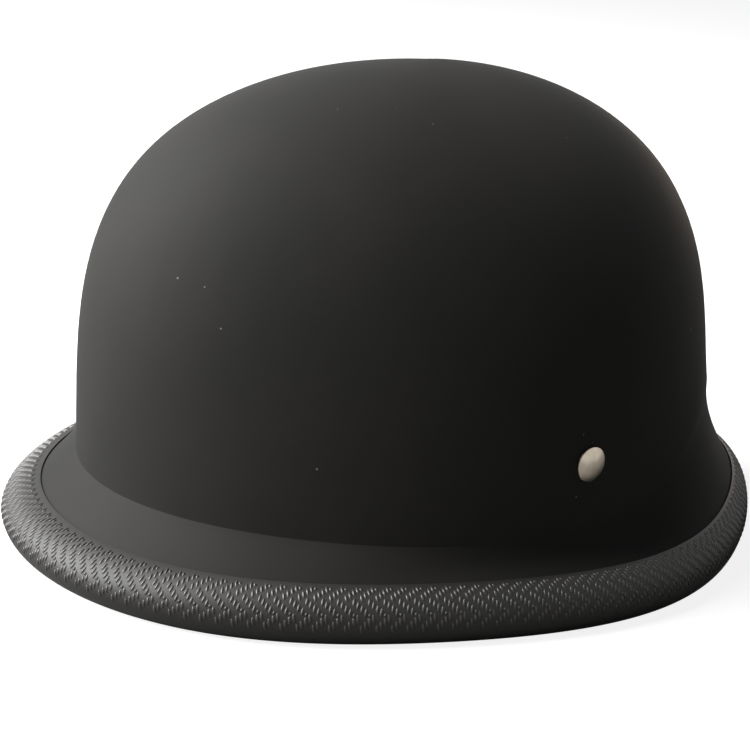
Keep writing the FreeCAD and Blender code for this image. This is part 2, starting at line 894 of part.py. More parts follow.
# The straps lie side by side: the buckle and the tongue pass each other with a gap.
strap_spacing = size.buckle_width / 2 + size.tongue_width / 2 + size.strap_side_gap
strap_turn = degrees(asin(strap_spacing.value / (2 * (wall_x - web_centre_x.value))))


def strap_placement(side, along=0.0, rise=0.0):
    """The frame of a free strap: X runs along it from its fold, Z is up, at rest on the table."""
    sign, turn = SIDES[side]
    heading = turn + 180 + strap_turn
    place = Vector(
        sign * (wall_x - web_centre_x.value), -size.rivet_forward.value,
        FOLD_HEIGHTS[side].value + rise)
    rotation = Rotation(Z_AXIS, heading)
    return Placement(place + rotation.multVec(X_AXIS) * along, rotation)


STRAP_ENDS = {
    "left": (size.left_strap_length, buckle_eye_radius, size.bar_diameter),
    "right": (size.right_strap_length, tongue_eye_radius, size.tongue_bar_diameter),
}
for side, (length, eye_radius, bar) in STRAP_ENDS.items():
    half = size.webbing_width / 2
    eye_rise = eye_radius - half_web
    strip = block(side + "_strap_strip", (ZERO, -half, -half_web), (length, half, half_web))
    tip = rod(side + "_strap_fold", half_web, size.webbing_width, (ZERO, ZERO, ZERO), "y")
    roll = rod(side + "_strap_roll", eye_radius, size.webbing_width,
               (length, ZERO, eye_rise), "y")
    bore = rod(side + "_strap_bore", bar / 2 + size.webbing_play, size.webbing_width * 2,
               (length, ZERO, eye_rise), "y")
    flat = combined("Fuse", side + "_strap_flat", strip, tip)
    whole = combined("Fuse", side + "_strap_whole", flat, roll)
    strap = combined("Cut", side + "_strap", whole, bore)
    strap.Placement = strap_placement(side)


# Buckle: a moulded tray that turns on a steel bar in the left strap's end

buckle_rise = buckle_eye_radius - half_web
buckle_place = strap_placement("left", size.left_strap_length.value, buckle_rise.value)
tray_low = -buckle_eye_radius
tray_top = tray_low + size.buckle_height
tray_half = size.buckle_width / 2
well_half = size.lever_width / 2 + size.well_side_room
eye_room = buckle_eye_radius + size.eye_clearance

housing = new_body("buckle_housing", buckle_place)
plan = new_sketch(housing, "housing_plan", "xy", tray_low)
draw_rectangle(plan, (-size.buckle_back, -tray_half), (size.buckle_front, tray_half))
tray = pad(housing, "housing_block", plan, size.buckle_height)
document.recompute()
corners = edges_along(tray.Shape, Z_AXIS)
soft = rounded(housing, "housing_corners", tray, corners, size.buckle_corner)
rear = new_sketch(housing, "strap_mouth", "xy")
draw_rectangle(rear, (-size.buckle_back * 2, -(size.webbing_width / 2 + size.webbing_play)),
               (eye_room, size.webbing_width / 2 + size.webbing_play))
through_cut(housing, "strap_mouth_cut", rear, size.buckle_height * 3)
side_view = new_sketch(housing, "lever_well", "xz")
well_start = eye_room + size.buckle_back_wall
draw_rectangle(side_view, (well_start, tray_low + size.buckle_floor),
               (size.buckle_front * 2, tray_top * 2))
through_cut(housing, "lever_well_cut", side_view, well_half * 2)
bores = new_sketch(housing, "pin_bores", "xz")
pin_spot = (size.lever_pin_reach, size.lever_pin_rise)
draw_circle(bores, (ZERO, ZERO), size.bar_diameter / 2)
draw_circle(bores, pin_spot, size.lever_pin_diameter / 2)
through_cut(housing, "pin_bores_cut", bores, size.buckle_width * 2)


def cross_pin(label, placement, spot, diameter, length):
    """A plain pin across a part, with its middle on the part's middle plane."""
    pin = new_body(label, placement)
    end = new_sketch(pin, label + "_end", "xz")
    draw_circle(end, spot, diameter / 2)
    pad(pin, label + "_length", end, length, True)
    return pin


cross_pin("buckle_bar", buckle_place, (ZERO, ZERO), size.bar_diameter, size.buckle_width)
cross_pin("lever_pin", buckle_place, pin_spot, size.lever_pin_diameter, size.buckle_width)


# Buckle lever: a moulded plate with a barrel on its pin, a tooth below and a tab to lift

barrel = size.lever_barrel_diameter / 2
lever_top = tray_top
plate_low = lever_top - size.lever_plate
tooth_end = size.lever_tooth_reach + size.lever_tooth_length
tab_end = size.buckle_front + size.lever_tab_overhang
tooth_tip = size.lever_pin_rise - size.lever_tooth_drop
lever = new_body("buckle_lever", buckle_place)
profile = new_sketch(lever, "lever_profile", "xz")
draw_polygon(profile, [
    (size.lever_pin_reach, lever_top),
    (size.lever_pin_reach, size.lever_pin_rise),
    (size.lever_pin_reach + barrel, plate_low),
    (size.lever_tooth_reach, plate_low),
    (size.lever_tooth_reach, tooth_tip),
    (tooth_end, plate_low),
    (tab_end, plate_low),
    (tab_end, lever_top),
])
pad(lever, "lever_plate", profile, size.lever_width, True)
barrel_end = new_sketch(lever, "barrel_end", "xz")
draw_circle(barrel_end, pin_spot, barrel)
pad(lever, "lever_barrel", barrel_end, size.lever_width, True)
pin_bore = new_sketch(lever, "lever_bore", "xz")
draw_circle(pin_bore, pin_spot, size.lever_pin_diameter / 2 + size.lever_pin_clearance)
through_cut(lever, "lever_bore_cut", pin_bore, size.lever_width * 2)
slot_half = size.spring_width / 2 + size.spring_play
spring_slot = new_sketch(lever, "spring_slot", "xz")
draw_rectangle(spring_slot,
               (size.lever_pin_reach - barrel * 2, size.lever_pin_rise - barrel * 2),
               (size.lever_pin_reach + barrel + size.spring_play, size.lever_pin_rise + barrel))
through_cut(lever, "spring_slot_cut", spring_slot, slot_half * 2)

coil_bore = size.lever_pin_diameter / 2 + size.spring_play
spring = new_body("lever_spring", buckle_place)
coil = new_sketch(spring, "spring_end", "xz")
draw_circle(coil, pin_spot, coil_bore + size.spring_wire)
draw_circle(coil, pin_spot, coil_bore)
pad(spring, "spring_coil", coil, size.spring_width, True)


# Tongue: a moulded blade with teeth, on a round bar in the right strap's end

tongue_rise = tongue_eye_radius - half_web
tongue_place = strap_placement("right", size.right_strap_length.value, tongue_rise.value)
eye_height = size.table_gap + chin_sleeve + tongue_eye_radius
blade_low = size.tongue_table_gap - eye_height
blade_top = blade_low + size.tongue_blade_thickness
tongue_half = size.tongue_width / 2
mouth_half = size.webbing_width / 2 + size.webbing_play

tongue = new_body("tongue", tongue_place)
head_side = new_sketch(tongue, "tongue_head", "xz")
draw_polygon(head_side, [
    (-size.tongue_ear_back, blade_low),
    (size.tongue_bridge_end, blade_low),
    (size.tongue_bridge_end, -size.tongue_bridge_top),
    (size.tongue_bridge_start, size.tongue_ear_top),
    (-size.tongue_ear_back, size.tongue_ear_top),
])
pad(tongue, "tongue_head_block", head_side, size.tongue_width, True)
mouth = new_sketch(tongue, "tongue_mouth", "xy")
draw_rectangle(mouth, (-size.tongue_ear_back * 2, -mouth_half),
               (size.tongue_bridge_start, mouth_half))
through_cut(tongue, "tongue_mouth_cut", mouth, size.tongue_width * 2)
round_bar = new_sketch(tongue, "tongue_bar_end", "xz")
draw_circle(round_bar, (ZERO, ZERO), size.tongue_bar_diameter / 2)
pad(tongue, "tongue_bar", round_bar, size.tongue_width, True)
blade = new_sketch(tongue, "tongue_blade", "xy", blade_low)
blade_half = size.tongue_blade_width / 2
tip_inset = size.tongue_blade_thickness
draw_polygon(blade, [
    (size.tongue_bridge_start, -blade_half),
    (size.tongue_length - tip_inset, -blade_half),
    (size.tongue_length, tip_inset - blade_half),
    (size.tongue_length, blade_half - tip_inset),
    (size.tongue_length - tip_inset, blade_half),
    (size.tongue_bridge_start, blade_half),
])
pad(tongue, "tongue_blade_plate", blade, size.tongue_blade_thickness)
tooth = new_sketch(tongue, "tooth_side", "xz")
draw_polygon(tooth, [
    (size.tooth_start, blade_top),
    (size.tooth_start + size.tooth_pitch, blade_top),
    (size.tooth_start + size.tooth_pitch, blade_top + size.tooth_height),
])
first_tooth = pad(tongue, "first_tooth", tooth, size.tongue_blade_width, True)
document.recompute()
teeth = tongue.newObject("PartDesign::LinearPattern", "teeth")
teeth.Originals = [first_tooth]
teeth.Direction = (tooth, ["H_Axis"])
teeth.Occurrences = TONGUE_TOOTH_COUNT
bind(teeth, Length=size.tooth_pitch * (TONGUE_TOOTH_COUNT - 1))
tongue.Tip = teeth


# Chin pad: a soft sleeve that slides on the right strap, thick on the side of the chin

def chin_section(along, scale):
    half = size.chin_pad_width.value / 2 * (1 + scale) / 2
    low = -half_web.value - chin_sleeve.value
    shoulder = half_web.value + chin_sleeve.value
    crown = shoulder + (size.chin_pad_crown.value - shoulder) * scale
    spots = [
        Vector(along, -half, low),
        Vector(along, half, low),
        Vector(along, half, shoulder),
        Vector(along, 0, crown),
        Vector(along, -half, shoulder),
    ]
    edges = [
        Part.LineSegment(spots[0], spots[1]).toShape(),
        Part.LineSegment(spots[1], spots[2]).toShape(),
        Part.Arc(spots[2], spots[3], spots[4]).toShape(),
        Part.LineSegment(spots[4], spots[0]).toShape(),
    ]
    return Part.Wire(edges)


CHIN_PAD_SHARES = ((0, CHIN_PAD_END_SHARE), (0.12, 1), (0.5, 1), (0.88, 1), (1, CHIN_PAD_END_SHARE))
sleeve = Part.makeLoft([
    chin_section(size.chin_pad_start.value + size.chin_pad_length.value * along, scale)
    for along, scale in CHIN_PAD_SHARES], True)
slot_width = (size.webbing_width + size.webbing_play * 2).value
slot_height = (size.webbing_thickness + size.webbing_play * 2).value
slot = Part.makeBox(
    size.chin_pad_start.value + size.chin_pad_length.value * 2, slot_width, slot_height,
    Vector(0, -slot_width / 2, -slot_height / 2))
feature("chin_pad", sleeve.cut(slot), strap_placement("right"))


# Strap keeper: a moulded loop that slides on the right strap

keeper = new_body("strap_keeper", strap_placement("right"))
keeper_start = size.right_strap_length - size.keeper_from_eye
loop = new_sketch(keeper, "keeper_section", "yz", keeper_start)
inner_half = size.webbing_width / 2 + size.webbing_play
inner_rise = half_web + size.webbing_play
outer_half = inner_half + size.keeper_side_wall
outer_rise = inner_rise + size.keeper_wall
draw_rectangle(loop, (-outer_half, -outer_rise), (outer_half, outer_rise))
draw_rectangle(loop, (-inner_half, -inner_rise), (inner_half, inner_rise))
band = pad(keeper, "keeper_loop", loop, size.keeper_length)
document.recompute()
between = (inner_half.value + outer_half.value) / 2
corners = edges_along(band.Shape, X_AXIS, lambda spot: abs(spot.y) > between)
rounded(keeper, "keeper_corners", band, corners, size.keeper_corner)


# Parts list and export

PARTS = [
    "outer_shell", "edge_trim", "impact_liner", "crown_pad",
    "brow_pad", "nape_pad", "left_side_pad", "right_side_pad",
    "left_rivet", "right_rivet", "left_rivet_spacer", "right_rivet_spacer",
    "left_strap_hanger", "right_strap_hanger",
    "left_anchor_webbing", "right_anchor_webbing", "left_strap", "right_strap",
    "buckle_housing", "buckle_bar", "buckle_lever", "lever_pin", "lever_spring",
    "tongue", "chin_pad", "strap_keeper",
]

document.recompute()
for item in document.Objects:
    if "Invalid" in item.State or "Error" in item.State:
        raise RuntimeError("failed object: " + item.Label)

os.makedirs("parts", exist_ok=True)
for label in PARTS:
    part = document.getObjectsByLabel(label)[0]
    shape = part.Shape
    if shape.isNull() or not shape.isValid() or not shape.Solids:
        raise RuntimeError("bad shape: " + label)
    box = shape.BoundBox
    print("%-20s solids %d volume %10.1f  x %7.1f %7.1f  y %7.1f %7.1f  z %6.2f %6.2f" % (
        label, len(shape.Solids), shape.Volume,
        box.XMin, box.XMax, box.YMin, box.YMax, box.ZMin, box.ZMax))
    shape.exportStep("parts/" + label + ".step")
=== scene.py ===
import math

import bmesh
import bpy
import numpy as np
from mathutils import Matrix, Vector


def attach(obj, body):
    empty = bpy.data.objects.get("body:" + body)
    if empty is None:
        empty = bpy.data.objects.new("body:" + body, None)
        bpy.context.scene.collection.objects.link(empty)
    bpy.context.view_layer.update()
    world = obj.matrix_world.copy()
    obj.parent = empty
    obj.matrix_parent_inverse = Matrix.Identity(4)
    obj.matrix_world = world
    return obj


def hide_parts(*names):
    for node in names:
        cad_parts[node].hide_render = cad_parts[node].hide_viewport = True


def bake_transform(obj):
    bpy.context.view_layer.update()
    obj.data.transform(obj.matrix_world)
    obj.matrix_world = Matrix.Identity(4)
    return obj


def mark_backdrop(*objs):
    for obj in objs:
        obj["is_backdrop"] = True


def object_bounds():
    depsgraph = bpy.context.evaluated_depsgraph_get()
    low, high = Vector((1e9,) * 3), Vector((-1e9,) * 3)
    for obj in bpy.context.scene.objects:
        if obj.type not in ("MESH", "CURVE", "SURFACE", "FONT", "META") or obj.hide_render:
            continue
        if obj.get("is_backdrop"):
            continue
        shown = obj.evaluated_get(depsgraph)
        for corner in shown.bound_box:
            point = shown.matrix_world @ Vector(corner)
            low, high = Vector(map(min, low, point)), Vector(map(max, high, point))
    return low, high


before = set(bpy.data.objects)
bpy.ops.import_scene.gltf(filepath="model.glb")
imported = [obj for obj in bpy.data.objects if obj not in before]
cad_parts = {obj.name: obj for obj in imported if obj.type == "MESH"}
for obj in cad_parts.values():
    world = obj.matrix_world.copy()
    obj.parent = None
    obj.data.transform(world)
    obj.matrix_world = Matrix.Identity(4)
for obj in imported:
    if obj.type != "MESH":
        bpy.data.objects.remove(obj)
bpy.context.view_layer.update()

# Room and camera. A pale floor and a white surround with one large soft window light high on the left
# and a low warm light behind on the right. The camera stands as for the photograph, a little rolled.
MM = 0.001
CAMERA_AZIMUTH = math.radians(51.151)
CAMERA_ELEVATION = math.radians(17.536)
CAMERA_ROLL = math.radians(5.0)
CAMERA_DISTANCE = 621.785 * MM
CAMERA_LENS = 78.14
TARGET_SIDE = -9.097 * MM
TARGET = Vector((0, -2.2 * MM, 50.774 * MM))

camera_right = Vector((math.cos(CAMERA_AZIMUTH), math.sin(CAMERA_AZIMUTH), 0))
camera_back = Vector((
    math.sin(CAMERA_AZIMUTH) * math.cos(CAMERA_ELEVATION),
    -math.cos(CAMERA_AZIMUTH) * math.cos(CAMERA_ELEVATION),
    math.sin(CAMERA_ELEVATION)))
camera_up = camera_back.cross(camera_right)
target = TARGET + camera_right * TARGET_SIDE
rolled_right = camera_right * math.cos(CAMERA_ROLL) + camera_up * math.sin(CAMERA_ROLL)
rolled_up = camera_up * math.cos(CAMERA_ROLL) - camera_right * math.sin(CAMERA_ROLL)

bpy.ops.object.select_all(action="DESELECT")
bpy.ops.object.camera_add(location=target + camera_back * CAMERA_DISTANCE)
camera = bpy.context.object
camera.rotation_euler = Matrix((rolled_right, rolled_up, camera_back)).transposed().to_euler()
camera.data.lens = CAMERA_LENS
camera.data.sensor_width = 36.0
camera.data.clip_start = 0.01
bpy.context.scene.camera = camera
bpy.context.scene.view_settings.view_transform = "Standard"


def linear(colour):
    """An sRGB hex colour as linear RGBA."""
    parts = [int(colour[index:index + 2], 16) / 255 for index in (1, 3, 5)]
    return [v / 12.92 if v <= 0.04045 else ((v + 0.055) / 1.055) ** 2.4 for v in parts] + [1.0]


def add_node(tree, kind, settings=None, links=None, values=None, **inputs):
    """Adds a shader node with its settings, incoming links and socket values, by number or name."""
    node = tree.nodes.new("ShaderNode" + kind)
    for name, value in (settings or {}).items():
        setattr(node, name, value)
    for name, value in (values or {}).items():
        node.inputs[name].default_value = value
    for name, value in inputs.items():
        node.inputs[name.replace("_", " ")].default_value = value
    for name, source in (links or {}).items():
        tree.links.new(source, node.inputs[name])
    return node


def empty_material(name):
    """A material with nothing but its output node."""
    made = bpy.data.materials.new(name)
    made.use_nodes = True
    made.node_tree.nodes.clear()
    return made, made.node_tree, made.node_tree.nodes.new("ShaderNodeOutputMaterial")


# The surround is white where the camera, gloss or glass look at it and a softer light on the object.
world = bpy.data.worlds.new("white_surround")
bpy.context.scene.world = world
world.use_nodes = True
tree = world.node_tree
tree.nodes.clear()
seen = add_node(tree, "LightPath")
seen_or_glossy = add_node(tree, "Math", {"operation": "MAXIMUM"}, {
    0: seen.outputs["Is Camera Ray"], 1: seen.outputs["Is Glossy Ray"]})
shown = add_node(tree, "Math", {"operation": "MAXIMUM"}, {
    0: seen_or_glossy.outputs[0], 1: seen.outputs["Is Transmission Ray"]})
level = add_node(tree, "MapRange", links={"Value": shown.outputs[0]}, To_Min=0.04, To_Max=1.0)
background = add_node(tree, "Background", links={"Strength": level.outputs[0]},
                      Color=linear("#ffffff"))
surround = tree.nodes.new("ShaderNodeOutputWorld")
tree.links.new(background.outputs[0], surround.inputs["Surface"])

bpy.ops.mesh.primitive_circle_add(vertices=96, radius=6.0, fill_type="NGON",
                                  location=(0, 0, -0.1 * MM))
floor = bpy.context.object
floor.name = "floor"
floor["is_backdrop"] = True
material, tree, out = empty_material("pale_floor_paint")
seen = add_node(tree, "LightPath")
tint = add_node(tree, "Mix", {"data_type": "RGBA"}, {"Factor": seen.outputs["Is Camera Ray"]},
                A=linear("#8c8c8a"), B=linear("#9a9a9a"))
paint = add_node(tree, "BsdfDiffuse", links={"Color": tint.outputs["Result"]})
glow = add_node(tree, "Emission", links={"Strength": seen.outputs["Is Camera Ray"]},
                Color=linear("#eeeeee"))
both = add_node(tree, "AddShader", links={0: paint.outputs[0], 1: glow.outputs[0]})
tree.links.new(both.outputs[0], out.inputs["Surface"])
floor.data.materials.append(material)


def soft_light(name, place, size, power, colour):
    """A square lamp that looks at the middle of the object."""
    bpy.ops.object.light_add(type="AREA", location=place)
    lamp = bpy.context.object
    lamp.name = name
    lamp.data.size = size
    lamp.data.energy = power
    lamp.data.color = linear(colour)[:3]
    lamp.rotation_euler = (target - lamp.location).to_track_quat("-Z", "Y").to_euler()
    return lamp


soft_light("window_light", target - camera_right * 1.4 + camera_up * 0.95 + camera_back * 0.3,
           1.6, 150.0, "#ffffff")
soft_light("back_light", target + camera_right * 0.6 - camera_back * 1.3 + camera_up * 0.4,
           0.5, 2.5, "#ffe2c8")
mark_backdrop(*[lamp for lamp in bpy.context.scene.objects if lamp.type == "LIGHT"])


# Outer shell. One moulded ABS wall under soft-touch matt black paint. The paint is nearly black where
# it faces the eye, hazes to grey towards a light and holds a few specks of dust.
SPECK_SPACING = 9.0 * MM
SPECK_SIZE = 0.35 * MM
ORANGE_PEEL = 2.2 * MM


def painted(made, *nodes):
    """Gives CAD nodes a material in place of their own."""
    for node in nodes:
        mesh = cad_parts[node].data
        mesh.materials.clear()
        mesh.materials.append(made)


def mottled(tree, size, detail, tones, spread=(0, 1)):
    """Noise in patches of a size on the object, and a colour that drifts between two tones with it."""
    place = add_node(tree, "TexCoord")
    noise = add_node(tree, "TexNoise", links={"Vector": place.outputs["Object"]},
                     Scale=1 / size, Detail=detail)
    tone = add_node(tree, "ValToRGB", links={"Fac": noise.outputs["Fac"]})
    for element, position, colour in zip(tone.color_ramp.elements, spread, tones):
        element.position = position
        element.color = linear(colour)
    return noise, tone


material, tree, out = empty_material("matt_black_paint_on_abs")
place = add_node(tree, "TexCoord")
peel = add_node(tree, "TexNoise", links={"Vector": place.outputs["Object"]},
                Scale=1 / ORANGE_PEEL, Detail=2.0, Roughness=0.5)
relief = add_node(tree, "Bump", links={"Height": peel.outputs["Fac"]},
                  Strength=0.06, Distance=0.05 * MM)
cloud, tone = mottled(tree, 60 * MM, 3.0, ("#262625", "#2b2a29"), (0.3, 0.7))
cells = add_node(tree, "TexVoronoi", {"feature": "F1"}, {"Vector": place.outputs["Object"]},
                 Scale=1 / SPECK_SPACING)
speck = add_node(tree, "Math", {"operation": "LESS_THAN"}, {0: cells.outputs["Distance"]},
                 {1: SPECK_SIZE / SPECK_SPACING})
lucky = add_node(tree, "SeparateColor", links={"Color": cells.outputs["Color"]})
few = add_node(tree, "Math", {"operation": "GREATER_THAN"}, {0: lucky.outputs[0]}, {1: 0.8})
dust = add_node(tree, "Math", {"operation": "MULTIPLY"}, {0: speck.outputs[0], 1: few.outputs[0]})
colour = add_node(tree, "Mix", {"data_type": "RGBA"}, {
    "Factor": dust.outputs[0], "A": tone.outputs["Color"]}, B=linear("#6a6a66"))
rough = add_node(tree, "MapRange", links={"Value": cloud.outputs["Fac"]}, To_Min=0.60, To_Max=0.66)
paint = add_node(tree, "BsdfPrincipled", links={
    "Base Color": colour.outputs["Result"], "Roughness": rough.outputs[0],
    "Normal": relief.outputs[0]}, Specular_IOR_Level=0.03)
tree.links.new(paint.outputs[0], out.inputs["Surface"])
painted(material, "outer_shell")


# Edge trim. A black vinyl channel pressed over the shell's edge, extruded with an embossed herringbone
# on its face and a plain lip, with a butt joint at the rear. Each raised pick catches the light.
RIM_HALF_WIDTH = 114.5 * MM
RIM_HALF_LENGTH = 142.6 * MM
RIM_SHIFT = 2.7 * MM
RIM_EGG = 0.045
RIM_WAVES = (0.0, 0.013, -0.008, -0.005, 0.002)
TRIM_PROUD = (14.5 * MM, 8.1 * MM, 7.4 * MM)
TRIM_TOP = (16.5 * MM, 18.6 * MM, 20.6 * MM)
TRIM_BULGE = 7.3 * MM
TRIM_SKIN = 3.0 * MM
TRIM_LEG = 3.0 * MM
EDGE_HEIGHT = 8.0 * MM
SLOPED_WALL = 3.2 * 1.25 * MM
JOINT_ROUND = 0.25 * MM
LIP_RISE = 0.45 * MM
LIP_GAP = 0.35 * MM
PICK_LENGTH = 2.9 * MM
PICK_WIDTH = 0.95 * MM
PICK_HEIGHT = 0.36 * MM
PICK_PERIOD = 5.0 * MM
PICK_ROW = 1.13 * MM
FIRST_ROW = 2.7 * MM
PICK_SLANT = 0.15
PICK_MIDDLE = 0.55
PICK_SUNK = 0.02 * MM
FACE_STEPS = 30
FACE_END = 1.66
# The column of each row's pick, from the lip down, and whether it is a short one.
PICK_ROWS = [(0, 3, 1), (-0.2, 0, 0.5), (1, 2, 1), (2, 1, 1), (3, 0, 1), (4.1, 2, 1), (5.1, 3, 1),
             (6.2, 0, 1), (7.2, 1, 1), (7.9, 2, 0.45), (9, 3, 1), (9.9, 2, 1), (10.9, 1, 1),
             (11.9, 0, 1)]


def by_direction(turn, front, side, rear):
    """A value that goes from the front to the side to the rear; turn 0 is the front."""
    forward = np.maximum(np.cos(turn), 0)
    backward = np.maximum(-np.cos(turn), 0)
    return front * forward ** 2 + rear * backward ** 2 + side * np.sin(turn) ** 2


def rim_line(turn):
    """Where the trim's lip meets the shell, seen from above."""
    wave = 1 + sum(share * np.cos((3 + order) * turn) for order, share in enumerate(RIM_WAVES))
    x = RIM_HALF_WIDTH * np.sin(turn) * (1 - RIM_EGG * np.cos(turn)) * wave
    y = -RIM_HALF_LENGTH * np.cos(turn) * wave
    return np.stack([x, y], -1)


def beside_rim(turn, offset, height):
    """Points beside the rim line, outwards by an offset, at a height."""
    step = math.pi / 36
    along = rim_line(turn + step) - rim_line(turn - step)
    outward = np.stack([along[..., 1], -along[..., 0]], -1)
    outward /= np.linalg.norm(outward, axis=-1, keepdims=True)
    flat = rim_line(turn) + outward * offset[..., None]
    return np.stack([flat[..., 0], flat[..., 1] + RIM_SHIFT, height], -1)


def face_point(turn, share, rise=0.0):
    """Points of the trim's face; share 0 is the lip, 1 the widest line, up to 1.7 below it."""
    proud = by_direction(turn, *TRIM_PROUD)
    top = by_direction(turn, *TRIM_TOP)
    bend = (1 - share) * math.pi / 2
    upper = bend >= 0
    flat = proud * 0.35
    offset = np.where(upper, proud * np.cos(bend), flat + (proud - flat) * np.cos(bend))
    height = np.where(upper, TRIM_BULGE + (top - TRIM_BULGE) * np.sin(bend),
                      TRIM_BULGE + (TRIM_BULGE + 0.5 * MM) * np.sin(bend))
    out_x = np.cos(bend) * (top - TRIM_BULGE)
    out_z = np.sin(bend) * proud
    size = np.hypot(out_x, out_z)
    lip = LIP_RISE * np.clip(1 - share / 0.5, 0, 1) ** 2
    offset = offset + (rise + lip) * out_x / size + LIP_GAP * np.clip(1 - share / 0.12, 0, 1)
    height = height + (rise + lip) * out_z / size
    return beside_rim(turn, offset, height)


def lengths_along(line):
    """The length of a line up to each of its points."""
    return np.concatenate([[0], np.cumsum(np.linalg.norm(np.diff(line, axis=0), axis=1))])


# Turns at equal steps along the strip, so that the picks keep their spacing round the rim.
fine_turns = np.linspace(math.pi, 3 * math.pi, 4001)
runs = lengths_along(face_point(fine_turns, np.full_like(fine_turns, PICK_MIDDLE)))
strip_length = runs[-1]
period_count = round(strip_length / PICK_PERIOD)
period = strip_length / period_count


def turn_along(run):
    """The turn round the rim at a run along the strip."""
    return np.interp(run, runs, fine_turns)


# How far down the face a run from the lip is, at the front left where the pattern was measured.
face_shares = np.linspace(0, 1.35, 271)
drop = face_point(np.full_like(face_shares, CAMERA_AZIMUTH), face_shares)
drops = lengths_along(drop)


def moved_vertices(mesh, places):
    """Gives every vertex its new place."""
    mesh.vertices.foreach_set("co", np.asarray(places, np.float32).ravel())
    mesh.update()


def vertex_places(mesh):
    """The place of every vertex."""
    places = np.empty(len(mesh.vertices) * 3, np.float32)
    mesh.vertices.foreach_get("co", places)
    return places.reshape(-1, 3).astype(float)


def only(*pieces):
    """Selects some objects and nothing else, and makes the first one active."""
    bpy.ops.object.select_all(action="DESELECT")
    for piece in pieces:
        piece.select_set(True)
    bpy.context.view_layer.objects.active = pieces[0]


def joined(*pieces):
    """Joins some objects into the first one."""
    only(*pieces)
    bpy.ops.object.join()
    return pieces[0]


def copied(made):
    """A copy of an object, with a mesh of its own."""
    copy = made.copy()
    copy.data = made.data.copy()
    bpy.context.collection.objects.link(copy)
    return copy


def modified(made, kind, **settings):
    """Gives an object a modifier and applies it."""
    modifier = made.modifiers.new(kind.lower(), kind)
    for name, value in settings.items():
        setattr(modifier, name, value)
    only(made)
    bpy.ops.object.modifier_apply(modifier=modifier.name)


# The ground of the pattern is a satin black PVC. The picks are glossier, and their lighter colour is a
# painted highlight for the light that their raised faces catch.
def vinyl(name, colour, rough_low, rough_high):
    """Black PVC with a fine grain."""
    made, tree, out = empty_material(name)
    place = add_node(tree, "TexCoord")
    grain = add_node(tree, "TexNoise", links={"Vector": place.outputs["Object"]},
                     Scale=1 / (0.5 * MM), Detail=3.0)
    relief = add_node(tree, "Bump", links={"Height": grain.outputs["Fac"]},
                      Strength=0.25, Distance=0.05 * MM)
    rough = add_node(tree, "MapRange", links={"Value": grain.outputs["Fac"]},
                     To_Min=rough_low, To_Max=rough_high)
    skin = add_node(tree, "BsdfPrincipled", links={
        "Roughness": rough.outputs[0], "Normal": relief.outputs[0]},
        Base_Color=linear(colour), Specular_IOR_Level=0.35)
    tree.links.new(skin.outputs[0], out.inputs["Surface"])
    return made


bpy.ops.object.select_all(action="DESELECT")
bpy.ops.mesh.primitive_uv_sphere_add(segments=8, ring_count=4, radius=1.0)
pick = bpy.context.object
bpy.ops.object.mode_set(mode="EDIT")
bpy.ops.mesh.bisect(plane_co=(0, 0, 0), plane_no=(0, 0, -1), clear_outer=True)
bpy.ops.mesh.select_all(action="SELECT")
bpy.ops.transform.resize(value=(PICK_WIDTH / 2, PICK_LENGTH / 2, PICK_HEIGHT),
                         center_override=(0, 0, 0))
bpy.ops.object.mode_set(mode="OBJECT")
picks = []
for row, column, share in PICK_ROWS:
    copy = copied(pick)
    band = -1 if 3.5 < row < 8.5 else 1
    places = vertex_places(copy.data)
    places[:, 1] *= share
    places[:, 0] += places[:, 1] * PICK_SLANT * band + (column + 0.5) * period / 4
    places[:, 1] += FIRST_ROW + row * PICK_ROW
    places[:, 2] -= PICK_SUNK
    moved_vertices(copy.data, places)
    picks.append(copy)
bpy.data.objects.remove(pick)
weave = joined(*picks)
modified(weave, "ARRAY", count=period_count, use_relative_offset=False, use_constant_offset=True,
         constant_offset_displace=(period, 0, 0))
weave.data.materials.clear()
# The picks' lighter colour is a painted highlight for the light on their raised faces.
weave.data.materials.append(vinyl("black_pvc_painted_highlight", "#383634", 0.28, 0.4))
places = vertex_places(weave.data)
shares = np.interp(places[:, 1], drops, face_shares)
moved_vertices(weave.data, face_point(turn_along(places[:, 0]), shares, places[:, 2]))

# The channel's section as a closed line: the face, the sole, the inner leg and the slot. The two cut
# ends are a little rounded over, so that the joint shows as a fine groove.
spots = np.linspace(0, strip_length, period_count * 4 + 1)
spots = np.concatenate([[0, JOINT_ROUND], spots[1:-1], [strip_length - JOINT_ROUND, strip_length]])
turns = turn_along(spots)
stations = len(turns)
rounded_over = np.zeros(stations)
rounded_over[[0, -1]] = -JOINT_ROUND
proud = by_direction(turns, *TRIM_PROUD)
top = by_direction(turns, *TRIM_TOP)
section = [beside_rim(turns, np.full_like(turns, 0.9 * MM), top - 1.4 * MM),
           beside_rim(turns, np.full_like(turns, 0.3 * MM), top + LIP_RISE * 0.4)]
for step in range(FACE_STEPS + 1):
    share = FACE_END * (step / FACE_STEPS)
    section.append(face_point(turns, np.full_like(turns, share), rounded_over))
for offset, height in (
        (proud * 0.5, 0 * turns),
        (proud - TRIM_SKIN - SLOPED_WALL - TRIM_LEG + 0.8 * MM, 0 * turns),
        (proud - TRIM_SKIN - SLOPED_WALL - TRIM_LEG, 0 * turns + 0.8 * MM),
        (-SLOPED_WALL - TRIM_LEG + 0.2 * MM, top - 3.6 * MM),
        (-SLOPED_WALL - TRIM_LEG + 0.9 * MM, top - 2.7 * MM),
        (-SLOPED_WALL - 0.3 * MM, top - 1.6 * MM),
        (-SLOPED_WALL - 0.1 * MM, top - 2.4 * MM),
        (proud - TRIM_SKIN - SLOPED_WALL, 0 * turns + EDGE_HEIGHT),
        (proud - TRIM_SKIN, 0 * turns + EDGE_HEIGHT)):
    section.append(beside_rim(turns, offset + 0 * turns, height))
section = np.array(section)
rows = len(section)
